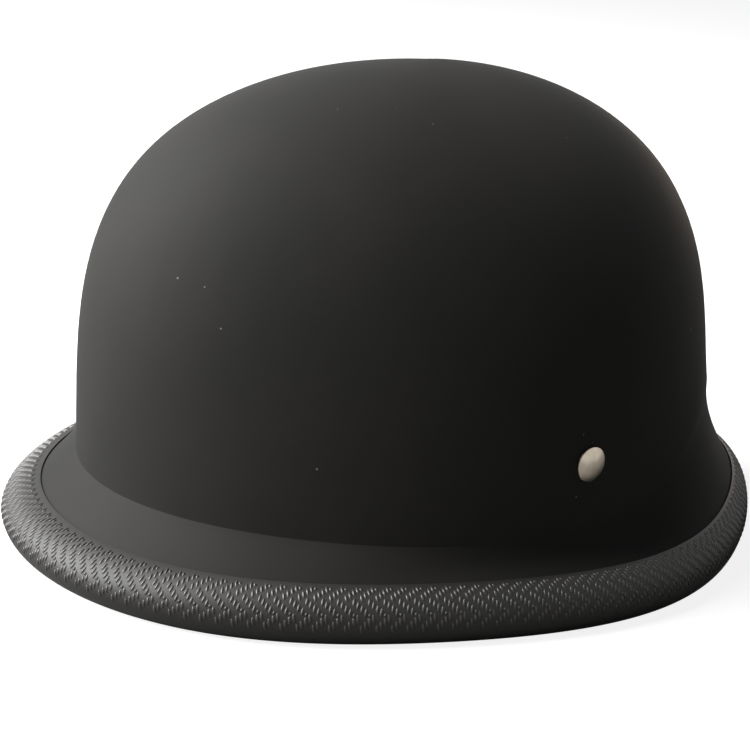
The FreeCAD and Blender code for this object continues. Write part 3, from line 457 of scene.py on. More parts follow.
bpy.ops.mesh.primitive_grid_add(x_subdivisions=stations - 1, y_subdivisions=rows - 1, size=2)
channel = bpy.context.object
grid = vertex_places(channel.data)
across = np.rint((grid[:, 1] + 1) / 2 * (rows - 1)).astype(int)
along = np.rint((grid[:, 0] + 1) / 2 * (stations - 1)).astype(int)
moved_vertices(channel.data, section[across, along])
body = bmesh.new()
body.from_mesh(channel.data)
body.verts.ensure_lookup_table()
grid_index = {(int(a), int(s)): i for i, (a, s) in enumerate(zip(across, along))}
for s in range(stations - 1):
    body.faces.new([body.verts[grid_index[key]] for key in (
        (rows - 1, s), (0, s), (0, s + 1), (rows - 1, s + 1))])
for s in (0, stations - 1):
    body.faces.new([body.verts[grid_index[(a, s)]] for a in range(rows)])
bmesh.ops.recalc_face_normals(body, faces=body.faces[:])
body.to_mesh(channel.data)
body.free()
channel.data.materials.append(vinyl("embossed_black_pvc", "#1d1c1b", 0.48, 0.62))
trim = joined(channel, weave)
trim.name = "edge_trim_vinyl"
bpy.ops.object.shade_smooth_by_angle(angle=math.radians(50))

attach(trim, "helmet")
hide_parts("edge_trim")


# Rivets. Pressed nickel silver with a low domed head, dulled by handling.
material, tree, out = empty_material("nickel_silver_rivet")
_, tone = mottled(tree, 3.0 * MM, 4.0, ("#b4a998", "#c8bdae"), (0.3, 0.7))
metal = add_node(tree, "BsdfPrincipled", links={"Base Color": tone.outputs["Color"]},
                 Metallic=1.0, Roughness=0.38)
tree.links.new(metal.outputs[0], out.inputs["Surface"])
painted(material, "left_rivet", "right_rivet")


# Impact liner. One moulding of charcoal expanded polystyrene, glued into the shell, with a channel for
# each strap. The fused beads of the foam show as a fine pebbled skin.
BEAD_SIZE = 3.2 * MM

material, tree, out = empty_material("charcoal_expanded_polystyrene")
place = add_node(tree, "TexCoord")
seams = add_node(tree, "TexVoronoi", {"feature": "DISTANCE_TO_EDGE"},
                 {"Vector": place.outputs["Object"]}, Scale=1 / BEAD_SIZE)
joint = add_node(tree, "MapRange", links={"Value": seams.outputs["Distance"]}, From_Max=0.14)
beads = add_node(tree, "TexVoronoi", {"feature": "F1"}, {"Vector": place.outputs["Object"]},
                 Scale=1 / BEAD_SIZE)
shade = add_node(tree, "SeparateColor", links={"Color": beads.outputs["Color"]})
tone = add_node(tree, "ValToRGB", links={"Fac": shade.outputs[0]})
tone.color_ramp.elements[0].color = linear("#2c2c2d")
tone.color_ramp.elements[1].color = linear("#383839")
relief = add_node(tree, "Bump", links={"Height": joint.outputs[0]}, Strength=0.6,
                  Distance=0.2 * MM)
foam = add_node(tree, "BsdfPrincipled", links={
    "Base Color": tone.outputs["Color"], "Normal": relief.outputs[0]},
    Roughness=0.75, Specular_IOR_Level=0.3)
tree.links.new(foam.outputs[0], out.inputs["Surface"])
painted(material, "impact_liner")


# Comfort pads. Foam cushions in black spacer mesh along the liner's lower edge, fixed by their flat
# backs. Upright seams of black thread sew each into puffs, and a piping runs round its edge.
PAD_HALF_WIDTH = (105.3 - 18.8) * MM
PAD_HALF_LENGTH = (124.3 - 18.8) * MM
PAD_EGG = -0.009
PAD_WAVES = (0.0, 0.018, -0.004, 0.002)
PAD_SHIFT = -2.2 * MM
PAD_LOW = 19.0 * MM
PAD_HIGH = 61.0 * MM
PAD_THICKNESS = 9.0 * MM
PAD_EDGE = 1.8 * MM
PAD_BACK = 0.1 * MM
PAD_CELL = 3.2 * MM
PAD_START_SHARE = 0.95
PAD_SWELL = 5.0 * MM
COVER_SLACK = 0.02
COVER_PRESSURE = 4
COVER_FRAMES = 20
PIPING_RADIUS = 1.3 * MM
PIPING_STEP = 1.6 * MM
SEAM_WIDTH = 1.8 * MM
SEAM_VALLEY = 4.0 * MM
SEAM_DEPTH = 0.4
STITCH_DEPTH = 0.2
STITCH_SPACING = 3.4 * MM
STITCH_LENGTH = 2.5 * MM
STITCH_WIDTH = 0.7 * MM
STITCH_NEAR = 1.2 * MM
KNIT_PITCH = 2.4 * MM
WHOLE_TURN = 2 * math.pi
# Where each pad starts and ends, as shares of a whole turn from the front, and its puffs.
PADS = {
    "brow_pad": (-0.106, 0.106, 4),
    "left_side_pad": (0.133, 0.367, 5),
    "nape_pad": (0.394, 0.606, 4),
    "right_side_pad": (0.633, 0.867, 5),
}


def pad_line(turn):
    """The flat backs of the pads, seen from above."""
    wave = 1 + sum(share * np.cos((3 + order) * turn) for order, share in enumerate(PAD_WAVES))
    x = PAD_HALF_WIDTH * np.sin(turn) * (1 - PAD_EGG * np.cos(turn)) * wave
    y = -PAD_HALF_LENGTH * np.cos(turn) * wave + PAD_SHIFT
    return np.stack([x, y, 0 * turn], -1)


def pad_inward(turn):
    """The level direction from the pads' backs to the head."""
    along = pad_line(turn + 0.01) - pad_line(turn - 0.01)
    inward = np.stack([-along[..., 1], along[..., 0], 0 * turn], -1)
    return inward / np.linalg.norm(inward, axis=-1, keepdims=True)


def pad_half_height(share):
    """Half the height of a pad at a share of its length; it narrows towards its ends."""
    fullness = 1 - np.abs(2 * share - 1) ** 6
    return (PAD_HIGH - PAD_LOW) / 2 * (0.675 + 0.325 * fullness)


def seam_distance(share, puffs, length):
    """How far shares of a pad's length are from the nearest seam between two puffs."""
    seam = np.clip(np.rint(share * puffs), 1, puffs - 1) / puffs
    return np.abs(share - seam) * length


def swollen(cushion, held, cap):
    """Lets a cushion's cover swell under pressure, but for the held points, and no further than a cap."""
    before = vertex_places(cushion.data)
    pins = cushion.vertex_groups.new(name="held")
    pins.add([int(index) for index in np.nonzero(held)[0]], 1.0, "REPLACE")
    cover = cushion.modifiers.new("cover", "CLOTH")
    cover.settings.use_pressure = True
    cover.settings.uniform_pressure_force = COVER_PRESSURE
    cover.settings.effector_weights.gravity = 0
    cover.settings.shrink_min = -COVER_SLACK
    cover.settings.vertex_group_mass = pins.name
    for step in range(1, COVER_FRAMES + 1):
        bpy.context.scene.frame_set(step)
    settled = cushion.evaluated_get(bpy.context.evaluated_depsgraph_get())
    after = vertex_places(settled.to_mesh())
    settled.to_mesh_clear()
    cushion.modifiers.remove(cover)
    bpy.context.scene.frame_set(1)
    move = after - before
    far = np.maximum(np.linalg.norm(move, axis=1, keepdims=True), 1e-9)
    moved_vertices(cushion.data, before + move * np.minimum(1, cap / far))


def subdivided(made, levels):
    """Rounds a mesh by subdivision and shades it smooth."""
    modified(made, "SUBSURF", levels=levels, render_levels=levels)
    bpy.ops.object.shade_smooth()


def faces_outwards(made):
    """Turns every face of a closed mesh outwards."""
    only(made)
    bpy.ops.object.mode_set(mode="EDIT")
    bpy.ops.mesh.select_all(action="SELECT")
    bpy.ops.mesh.normals_make_consistent(inside=False)
    bpy.ops.object.mode_set(mode="OBJECT")


def lay_cloth(made, flat_places):
    """Gives each vertex its place on the flat cloth, in metres, as the mesh's UV map."""
    layer = made.data.uv_layers.new(name="cloth")
    corners = np.empty(len(made.data.loops), np.int32)
    made.data.loops.foreach_get("vertex_index", corners)
    layer.data.foreach_set("uv", np.asarray(flat_places, np.float32)[corners].ravel())


def sewn_thread(name, stitches, body):
    """Thread on a cloth: a low bead at the spot of each stitch, along its way and on its normal."""
    bpy.ops.object.select_all(action="DESELECT")
    bpy.ops.mesh.primitive_uv_sphere_add(segments=6, ring_count=4, radius=1.0)
    bead = bpy.context.object
    shape = vertex_places(bead.data)
    beads = []
    for spot, way, normal in stitches:
        stitch = copied(bead)
        axes = np.array([np.array(way) * STITCH_LENGTH / 2, np.cross(normal, way) * STITCH_WIDTH / 2,
                         np.array(normal) * STITCH_WIDTH / 2])
        moved_vertices(stitch.data, spot + shape @ axes)
        beads.append(stitch)
    bpy.data.objects.remove(bead)
    thread = joined(*beads)
    thread.name = name
    bpy.ops.object.shade_smooth()
    thread.data.materials.append(thread_nylon)
    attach(thread, body)
    return thread


# The cloth is a black polyester spacer mesh: three crossing rows of small round holes in a soft knit.
material, tree, out = empty_material("black_polyester_spacer_mesh")
flat = add_node(tree, "UVMap", {"uv_map": "cloth"})
rows_sum = None
for heading in (0, 60, 120):
    wave_number = WHOLE_TURN / (KNIT_PITCH * math.cos(math.radians(30)))
    way = add_node(tree, "VectorMath", {"operation": "DOT_PRODUCT"}, {0: flat.outputs["UV"]}, {
        1: (wave_number * math.cos(math.radians(heading)),
            wave_number * math.sin(math.radians(heading)), 0)})
    wave = add_node(tree, "Math", {"operation": "COSINE"}, {0: way.outputs["Value"]})
    if rows_sum is None:
        rows_sum = wave
    else:
        rows_sum = add_node(tree, "Math", {"operation": "ADD"}, {
            0: rows_sum.outputs[0], 1: wave.outputs[0]})
knit = add_node(tree, "MapRange", {"interpolation_type": "SMOOTHSTEP"},
                {"Value": rows_sum.outputs[0]}, From_Min=0.4, From_Max=2.4, To_Min=1.0, To_Max=0.0)
_, tone = mottled(tree, 5.0 * MM, 4.0, ("#1d1d1f", "#2b2b2d"), (0.3, 0.7))
# The holes are painted near black: painted shade in the holes.
colour = add_node(tree, "Mix", {"data_type": "RGBA"}, {
    "Factor": knit.outputs[0], "B": tone.outputs["Color"]}, A=linear("#0b0b0c"))
relief = add_node(tree, "Bump", links={"Height": knit.outputs[0]}, Strength=0.9,
                  Distance=0.35 * MM)
cloth = add_node(tree, "BsdfPrincipled", links={
    "Base Color": colour.outputs["Result"], "Normal": relief.outputs[0]},
    Roughness=0.85, Sheen_Weight=0.2, Sheen_Roughness=0.45, Specular_IOR_Level=0.3)
tree.links.new(cloth.outputs[0], out.inputs["Surface"])
pad_cloth = material

# The thread is a bonded nylon, a little glossier and lighter than the cloth.
material, tree, out = empty_material("black_bonded_nylon_thread")
_, tone = mottled(tree, 0.4 * MM, 2.0, ("#2c2c2e", "#48484b"))
nylon = add_node(tree, "BsdfPrincipled", links={"Base Color": tone.outputs["Color"]},
                 Roughness=0.42)
tree.links.new(nylon.outputs[0], out.inputs["Surface"])
thread_nylon = material


def piping(name, path, outward, inward):
    """A thin round welt of the pads' cloth along a closed path; it rides on the helmet."""
    count = len(path)
    bpy.ops.object.select_all(action="DESELECT")
    bpy.ops.mesh.primitive_torus_add(major_segments=count, minor_segments=10, major_radius=2.0,
                                     minor_radius=1.0)
    welt = bpy.context.object
    welt.name = name
    ring = vertex_places(welt.data)
    around = np.rint(np.arctan2(ring[:, 1], ring[:, 0]) / WHOLE_TURN * count).astype(int) % count
    side = (np.hypot(ring[:, 0], ring[:, 1]) - 2.0)[:, None]
    moved_vertices(welt.data, path[around] + PIPING_RADIUS * (
        side * outward[around] + ring[:, 2:] * inward[around]))
    round_it = np.arctan2(ring[:, 2], side[:, 0]) * PIPING_RADIUS
    lay_cloth(welt, np.column_stack([lengths_along(path)[around], round_it]))
    faces_outwards(welt)
    bpy.ops.object.shade_smooth()
    welt.data.materials.append(pad_cloth)
    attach(welt, "helmet")


def evenly_spaced(line, step):
    """Points at even steps along a flat line, with both its ends."""
    runs = lengths_along(line)
    even = np.linspace(0, runs[-1], round(runs[-1] / step) + 1)
    return np.stack([np.interp(even, runs, line[:, 0]), np.interp(even, runs, line[:, 1])], -1)


def pad_outline(length):
    """The outline of a pad laid flat, with rounded corners, as a closed loop of even steps."""
    shares = np.linspace(0, 1, 60)
    half = pad_half_height(shares)
    ends = np.linspace(-1, 1, 14)[1:-1]
    loop = np.concatenate([
        np.stack([shares * length, -half], -1),
        np.stack([np.full(12, length), ends * half[-1]], -1),
        np.stack([shares[::-1] * length, half[::-1]], -1),
        np.stack([np.zeros(12), -ends * half[0]], -1)])
    loop = evenly_spaced(np.concatenate([loop, loop[:1]]), PIPING_STEP)[:-1]
    return sum(np.roll(loop, step, axis=0) for step in range(-3, 4)) / 7


for node, (first, last, puffs) in PADS.items():
    back = pad_line(np.linspace(first, last, 60) * WHOLE_TURN)
    length = np.sum(np.linalg.norm(np.diff(back, axis=0), axis=1))
    bpy.ops.object.select_all(action="DESELECT")
    bpy.ops.mesh.primitive_grid_add(x_subdivisions=puffs * round(length / puffs / PAD_CELL),
                                    y_subdivisions=round((PAD_HIGH - PAD_LOW) / PAD_CELL), size=2)
    pad = bpy.context.object
    pad.name = node + "_cushion"
    bpy.ops.object.mode_set(mode="EDIT")
    bpy.ops.mesh.extrude_region_move(TRANSFORM_OT_translate={"value": (0, 0, 1)})
    bpy.ops.object.mode_set(mode="OBJECT")
    faces_outwards(pad)
    grid = vertex_places(pad.data)
    share, rise, front = (grid[:, 0] + 1) / 2, grid[:, 1], grid[:, 2] > 0.5
    middle_height = (PAD_LOW + PAD_HIGH) / 2
    ends = 0.35 + 0.65 * (1 - np.abs(2 * share - 1) ** 6)
    from_seam = seam_distance(share, puffs, length)
    crown = PAD_THICKNESS * PAD_START_SHARE * ends * (1 - rise ** 2)
    crown *= 1 - SEAM_DEPTH * np.exp(-(from_seam / SEAM_VALLEY) ** 2)
    depth = np.where(front, np.maximum(crown, PAD_EDGE), PAD_BACK)
    turn = (first + (last - first) * share) * WHOLE_TURN
    inward, height = pad_inward(turn), middle_height + rise * pad_half_height(share)
    moved_vertices(pad.data, pad_line(turn) + inward * depth[:, None]
                   + np.outer(height, (0, 0, 1)))
    swollen(pad, ~front | (from_seam < PAD_CELL / 3), PAD_SWELL)
    subdivided(pad, 2)
    places = vertex_places(pad.data)
    turn = np.arctan2(places[:, 0] / PAD_HALF_WIDTH, -(places[:, 1] - PAD_SHIFT) / PAD_HALF_LENGTH)
    middle = (first + last) / 2 * WHOLE_TURN
    turn = middle + (turn - middle + math.pi) % WHOLE_TURN - math.pi
    inward = pad_inward(turn)
    depth = np.sum((places * (1, 1, 0) - pad_line(turn)) * inward, axis=1)
    share = (turn / WHOLE_TURN - first) / (last - first)
    pinch = STITCH_DEPTH * np.exp(-(seam_distance(share, puffs, length) / SEAM_WIDTH) ** 2)
    sewn_depth = np.maximum(depth, 0) * (1 - pinch) + np.minimum(depth, 0)
    moved_vertices(pad.data, places + inward * (sewn_depth - depth)[:, None])
    lower = np.clip((middle_height - places[:, 2]) / (12 * MM), -1, 1)
    lay_cloth(pad, np.stack([share * length, places[:, 2] + lower * sewn_depth], -1))
    pad.data.materials.append(pad_cloth)
    stitches = []
    for seam in range(1, puffs):
        seam_turn = (first + (last - first) * seam / puffs) * WHOLE_TURN
        near = np.abs(share - seam / puffs) * length < STITCH_NEAR
        for height in np.arange(PAD_LOW + 4 * MM, PAD_HIGH - 3 * MM, STITCH_SPACING):
            close = near & (np.abs(places[:, 2] - height) < 1.6 * MM)
            if close.any():
                spot = pad_line(seam_turn) + pad_inward(seam_turn) * sewn_depth[close].max()
                stitches.append((spot + (0, 0, height), (0, 0, 1), pad_inward(seam_turn)))
    thread = sewn_thread(node + "_stitching", stitches, "helmet")
    loop = pad_outline(length)
    turn = (first + (last - first) * loop[:, 0] / length) * WHOLE_TURN
    inward = pad_inward(turn)
    path = (pad_line(turn) + inward * PIPING_RADIUS
            + np.outer(middle_height + loop[:, 1], (0, 0, 1)))
    along = np.roll(path, -1, axis=0) - np.roll(path, 1, axis=0)
    outward = np.cross(along, inward)
    outward /= np.linalg.norm(outward, axis=1, keepdims=True)
    piping(node + "_piping", path, outward, inward)
    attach(pad, "helmet")
    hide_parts(node)


# Crown pad. A round cushion of the same cloth under the liner's crown, sewn across in both ways.
CROWN_SEAMS = ((0, (-18.0 * MM, 18.0 * MM)), (1, (-26.0 * MM, 24.0 * MM)))
CROWN_VOXEL = 4.0 * MM
CROWN_SLACK = 1.5 * MM
CROWN_SEAM_DEPTH = 3.2 * MM
CROWN_REACH = 60.0 * MM
EDGE_SPOTS = 48
PIPING_POINTS = 240


def copied_node(node, name):
    """A merged copy of a CAD node's mesh, as an object of its own."""
    made = bpy.data.objects.new(name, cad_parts[node].data.copy())
    bpy.context.collection.objects.link(made)
    made.data.materials.clear()
    only(made)
    bpy.ops.object.mode_set(mode="EDIT")
    bpy.ops.mesh.select_all(action="SELECT")
    bpy.ops.mesh.remove_doubles(threshold=0.002 * MM)
    bpy.ops.object.mode_set(mode="OBJECT")
    return made


def facing_down(made):
    """How far each vertex faces down, from 0 to 1."""
    normals = np.array([vertex.normal[:] for vertex in made.data.vertices])
    return np.clip(-normals[:, 2], 0, 1)


pad = copied_node("crown_pad", "crown_pad_cushion")
pad.data.remesh_voxel_size = CROWN_VOXEL
bpy.ops.object.voxel_remesh()
down = facing_down(pad)
moved_vertices(pad.data, vertex_places(pad.data) + np.outer(down, (0, 0, CROWN_SLACK)))
swollen(pad, down < 0.1, PAD_SWELL)
subdivided(pad, 2)
down = facing_down(pad)
places = vertex_places(pad.data)
pinch = np.zeros(len(places))
for axis, lines in CROWN_SEAMS:
    for line in lines:
        pinch = np.maximum(pinch, np.exp(-((places[:, axis] - line) / SEAM_WIDTH) ** 2))
places = places + np.outer(pinch * np.minimum(down * 2, 1), (0, 0, CROWN_SEAM_DEPTH))
moved_vertices(pad.data, places)
lay_cloth(pad, places[:, :2])
pad.data.materials.append(pad_cloth)
stitches = []
for axis, lines in CROWN_SEAMS:
    for line in lines:
        for run in np.arange(-CROWN_REACH, CROWN_REACH, STITCH_SPACING):
            spot = np.array((line, run) if axis == 0 else (run, line))
            near = (np.linalg.norm(places[:, :2] - spot, axis=1) < 1.3 * MM) & (down > 0.6)
            if near.any():
                stitches.append((np.array((*spot, places[near, 2].min())),
                                 (0, 1, 0) if axis == 0 else (1, 0, 0), (0, 0, -1)))
thread = sewn_thread("crown_pad_stitching", stitches, "helmet")

# Its piping follows the edge of the cushion, read off at even turns and smoothed.
centre = (places.max(0) + places.min(0)) / 2
level = places[:, :2] - centre[:2]
reach, turn = np.hypot(level[:, 0], level[:, 1]), np.arctan2(level[:, 1], level[:, 0])
edge_turns = np.arange(EDGE_SPOTS) * WHOLE_TURN / EDGE_SPOTS
edge_reach, edge_height = [], []
for edge_turn in edge_turns:
    near = np.abs((turn - edge_turn + math.pi) % WHOLE_TURN - math.pi) < 0.08
    outermost = np.nonzero(near)[0][np.argsort(-reach[near])[:12]]
    edge_reach.append(reach[outermost].mean())
    edge_height.append(places[outermost, 2].mean())
waves = [np.fft.rfft(values) for values in (edge_reach, edge_height)]
for wave in waves:
    wave[5:] = 0
even_turns = np.linspace(0, WHOLE_TURN, PIPING_POINTS + 1)[:-1]
even_reach, even_height = (
    np.interp(even_turns, np.append(edge_turns, WHOLE_TURN), np.append(values, values[0]))
    for values in (np.fft.irfft(wave, EDGE_SPOTS) for wave in waves))
outward = np.column_stack([np.cos(even_turns), np.sin(even_turns), 0 * even_turns])
path = centre * (1, 1, 0) + outward * even_reach[:, None] + np.outer(even_height, (0, 0, 1))
piping("crown_pad_piping", path, outward, np.tile((0, 0, -1.0), (PIPING_POINTS, 1)))
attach(pad, "helmet")
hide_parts("crown_pad")


# Rivet spacers and strap hangers. Turned nylon washers keep the pressed, zinc-plated steel plates off
# the shell; each plate hangs on its rivet and has a slot for the webbing.
material, tree, out = empty_material("black_nylon_washer")
_, tone = mottled(tree, 0.6 * MM, 3.0, ("#18181a", "#222224"))
nylon = add_node(tree, "BsdfPrincipled", links={"Base Color": tone.outputs["Color"]},
                 Roughness=0.5)
tree.links.new(nylon.outputs[0], out.inputs["Surface"])
painted(material, "left_rivet_spacer", "right_rivet_spacer")

# The zinc is a cold grey with faint cloudy spangle and a soft shine.
material, tree, out = empty_material("zinc_plated_steel")
place = add_node(tree, "TexCoord")
spangle = add_node(tree, "TexVoronoi", {"feature": "SMOOTH_F1"}, {"Vector": place.outputs["Object"]},
                   Scale=1 / (2.5 * MM))
tone = add_node(tree, "ValToRGB", links={"Fac": spangle.outputs["Distance"]})
tone.color_ramp.elements[0].color = linear("#9fa3a8")
tone.color_ramp.elements[1].color = linear("#b9bcbf")
streaks = add_node(tree, "TexNoise", links={"Vector": place.outputs["Object"]},
                   Scale=1 / (0.8 * MM), Detail=4.0)
rough = add_node(tree, "MapRange", links={"Value": streaks.outputs["Fac"]}, To_Min=0.28, To_Max=0.46)
zinc = add_node(tree, "BsdfPrincipled", links={
    "Base Color": tone.outputs["Color"], "Roughness": rough.outputs[0]}, Metallic=1.0)
tree.links.new(zinc.outputs[0], out.inputs["Surface"])
painted(material, "left_strap_hanger", "right_strap_hanger", "buckle_bar", "lever_pin")


# Webbing. Black polyester straps, woven flat, looped through each plate and folded inwards at the rim.
# Each ends in a loop round a bar, with its tail sewn down on itself.
WEB_WIDTH = 20.0 * MM
WEB_THICKNESS = 1.5 * MM
FOLD_X = 99.78 * MM
RIVET_Y = -6.1 * MM
STRAP_TURN = math.asin(31.2 / (2 * 99.77975))
BAR_Z = 29.05 * MM
LAYER = 1.65 * MM
SLOT_SIDE = 1.75 * MM
WEB_STEP = 1.0 * MM
WEB_COLUMNS = 8
WARP_PITCH = 1.25 * MM
WEFT_PITCH = 1.6 * MM
HANGER_STITCHES = (14.5 * MM, 17.5 * MM, 20.5 * MM, 23.5 * MM)
STITCH_ROW = [number * 2.6 * MM for number in range(-3, 4)]
# For each strap: outwards, height at rest, length to the bar, radius round the bar, end of the tail.
STRAPS = {
    "left": (1, 1.1 * MM, 58 * MM, 3.1 * MM, 33.0 * MM),
    "right": (-1, 2.4 * MM, 105 * MM, 2.7 * MM, 98.0 * MM),
}


def rounded_line(corners):
    """Points along a line whose corners, each with its radius, are rounded."""
    spots = [np.array(corner[:2], float) for corner in corners]
    line = [spots[0]]
    for before, (x, z, radius), after in zip(spots, corners[1:-1], spots[2:]):
        corner = np.array((x, z))
        back = (before - corner) / np.linalg.norm(before - corner)
        ahead = (after - corner) / np.linalg.norm(after - corner)
        half = math.acos(np.clip(np.dot(back, ahead), -1, 1)) / 2
        reach = radius / math.tan(half)
        centre = corner + (back + ahead) / np.linalg.norm(back + ahead) * radius / math.sin(half)
        start, end = corner + back * reach - centre, corner + ahead * reach - centre
        turn = math.atan2(start[0] * end[1] - start[1] * end[0], np.dot(start, end))
        steps = max(3, int(abs(turn) * radius / WEB_STEP * 2))
        for step in range(steps + 1):
            angle = turn * step / steps
            c, s = math.cos(angle), math.sin(angle)
            line.append(centre + np.array((start[0] * c - start[1] * s, start[0] * s + start[1] * c)))
    line.append(spots[-1])
    line = np.array(line)
    apart = np.diff(lengths_along(line)) > 1e-6
    return evenly_spaced(line[np.concatenate([[True], apart])], WEB_STEP)


# The weave is drawn a little coarser than real webbing, so that its ribs show.
material, tree, out = empty_material("black_polyester_webbing")
flat = add_node(tree, "UVMap", {"uv_map": "cloth"})
parts = add_node(tree, "SeparateXYZ", links={"Vector": flat.outputs["UV"]})
warp_place = add_node(tree, "Math", {"operation": "MULTIPLY"}, {0: parts.outputs["Y"]},
                      {1: math.pi / WARP_PITCH})
warp = add_node(tree, "Math", {"operation": "SINE"}, {0: warp_place.outputs[0]})
weft_place = add_node(tree, "Math", {"operation": "MULTIPLY"}, {0: parts.outputs["X"]},
                      {1: math.pi / WEFT_PITCH})
weft = add_node(tree, "Math", {"operation": "SINE"}, {0: weft_place.outputs[0]})
crossing = add_node(tree, "Math", {"operation": "MULTIPLY"}, {0: warp.outputs[0], 1: weft.outputs[0]})
thread_rise = add_node(tree, "Math", {"operation": "ABSOLUTE"}, {0: warp.outputs[0]})
crossing_share = add_node(tree, "Math", {"operation": "MULTIPLY"}, {0: crossing.outputs[0]},
                          {1: 0.6})
rise = add_node(tree, "Math", {"operation": "ADD"}, {
    0: thread_rise.outputs[0], 1: crossing_share.outputs[0]})
relief = add_node(tree, "Bump", links={"Height": rise.outputs[0]}, Strength=0.8,
                  Distance=0.18 * MM)
# The tone follows the relief: the thread crests are a painted highlight, and the hollows between them are
# painted shade.
light_share = add_node(tree, "MapRange", links={"Value": rise.outputs[0]}, From_Min=-0.2, From_Max=1.4)
tone = add_node(tree, "ValToRGB", links={"Fac": light_share.outputs[0]})
tone.color_ramp.elements[0].color = linear("#0f0f10")
tone.color_ramp.elements[1].color = linear("#2a2a2c")
polyester = add_node(tree, "BsdfPrincipled", links={
    "Base Color": tone.outputs["Color"], "Normal": relief.outputs[0]},
    Roughness=0.6, Sheen_Weight=0.15, Sheen_Roughness=0.4)
tree.links.new(polyester.outputs[0], out.inputs["Surface"])
webbing = material

for side, (outward, fold_z, length, round_bar, tail_end) in STRAPS.items():
    heading = (math.pi if outward > 0 else 0.0) + STRAP_TURN
    ahead = np.array((math.cos(heading), math.sin(heading)))
    across_strap = np.array((-math.sin(heading), math.cos(heading)))
    drop = rounded_line([
        (-LAYER, 12 * MM, 0), (-LAYER, BAR_Z - 4.5 * MM, 2 * MM), (-SLOT_SIDE, BAR_Z - 2 * MM, 2 * MM),
        (-SLOT_SIDE, BAR_Z + 3.25 * MM, 1.6 * MM), (SLOT_SIDE, BAR_Z + 3.25 * MM, 1.6 * MM),
        (SLOT_SIDE, BAR_Z - 2.5 * MM, 3 * MM), (0, BAR_Z - 8 * MM, 4 * MM), (0, fold_z, 2.5 * MM),
        (10 * MM, fold_z, 0)])
    slope = tail_end + 1.5 * MM if outward < 0 else length - 8 * MM
    end = rounded_line([
        (10 * MM, fold_z, 0), (length + round_bar, fold_z, round_bar * 0.999),
        (length + round_bar, fold_z + 2 * round_bar, round_bar * 0.999),
        (length - 0.8 * MM, fold_z + 2 * round_bar, 1.5 * MM), (slope, fold_z + LAYER, 1.5 * MM),
        (tail_end, fold_z + LAYER, 0)])
    line = np.concatenate([drop, end[1:]])
    bpy.ops.object.select_all(action="DESELECT")
    bpy.ops.mesh.primitive_grid_add(x_subdivisions=len(line) - 1, y_subdivisions=WEB_COLUMNS,
                                    size=2)
    strap = bpy.context.object
    strap.name = side + "_strap_webbing"
    grid = vertex_places(strap.data)
    station = np.rint((grid[:, 0] + 1) / 2 * (len(line) - 1)).astype(int)
    offset = grid[:, 1] * WEB_WIDTH / 2
    reach, height = line[station, 0], line[station, 1]
    on_strap = np.arange(len(line))[station] >= len(drop) - 12
    twist = np.clip((20 * MM - height) / (17 * MM), 0, 1)
    twist = np.where(on_strap, 1.0, twist * twist * (3 - 2 * twist))
    twist = np.where(station < np.argmax(line[:, 1]), 0.0, twist)[:, None]
    straight_ahead, straight_across = np.array((-outward, 0.0)), np.array((0.0, -outward))
    ahead_here = straight_ahead * (1 - twist) + ahead * twist
    across_here = straight_across * (1 - twist) + across_strap * twist
    level = (np.array((outward * FOLD_X, RIVET_Y)) + ahead_here * reach[:, None]
             + across_here * offset[:, None])
    moved_vertices(strap.data, np.column_stack([level, height]))
    lay_cloth(strap, np.column_stack([lengths_along(line)[station], offset]))
    modified(strap, "SOLIDIFY", thickness=WEB_THICKNESS, offset=0, use_even_offset=True)
    modified(strap, "BEVEL", width=0.45 * MM, segments=2, limit_method="ANGLE",
             angle_limit=math.radians(60))
    faces_outwards(strap)
    bpy.ops.object.shade_smooth_by_angle(angle=math.radians(40))
    strap.data.materials.append(webbing)
    fold = np.array((outward * FOLD_X, RIVET_Y, fold_z))
    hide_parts(side + "_anchor_webbing", side + "_strap")
    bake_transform(strap)
    stitches = []
    for height in HANGER_STITCHES:
        for offset in STITCH_ROW:
            spot = np.array((outward * (FOLD_X + LAYER + WEB_THICKNESS / 2),
                             RIVET_Y - outward * offset, height))
            stitches.append((spot, (0, 1, 0), (outward, 0, 0)))
    thread = sewn_thread(side + "_hanger_stitching", stitches, "helmet")
    stitches = []
    for run in np.arange(tail_end + 1.0 * MM, slope, 4 * MM):
        for offset in STITCH_ROW:
            level = fold[:2] + ahead * run + across_strap * offset
            spot = np.array((*level, fold_z + LAYER + WEB_THICKNESS / 2))
            stitches.append((spot, (*across_strap, 0), (0, 0, 1)))
    thread = sewn_thread(side + "_strap_stitching", stitches, side + "_strap")


# Buckle. A ratchet buckle moulded in black nylon on a steel bar, with a red acetal lever on a pin and
# a torsion spring wound of steel wire. All moulded edges are softly rounded.
BUCKLE_RISE = 3.1 * MM
LEVER_PIN = (14.0 * MM, 3.5 * MM)
LEVER_TOP = 7.6 * MM
GRIP_RUNS = (33.5 * MM, 36.3 * MM, 39.1 * MM, 41.9 * MM)
GRIP_HALF_LENGTH = 4.6 * MM
GRIP_RADIUS = 0.75 * MM
SPRING_TURNS = 5
SPRING_WIRE = 0.8 * MM
SPRING_RADIUS = 2.2 * MM


def softened(node, edge, name):
    """A copy of a moulded CAD node with rounded edges."""
    made = copied_node(node, name)
    bpy.ops.object.mode_set(mode="EDIT")
    bpy.ops.mesh.select_all(action="SELECT")
    bpy.ops.mesh.dissolve_limited(angle_limit=math.radians(0.5))
    bpy.ops.object.mode_set(mode="OBJECT")
    modified(made, "BEVEL", width=edge, segments=3, limit_method="ANGLE",
             angle_limit=math.radians(35))
    bpy.ops.object.shade_smooth_by_angle(angle=math.radians(40))
    modified(made, "WEIGHTED_NORMAL", weight=100, keep_sharp=True)
    return made


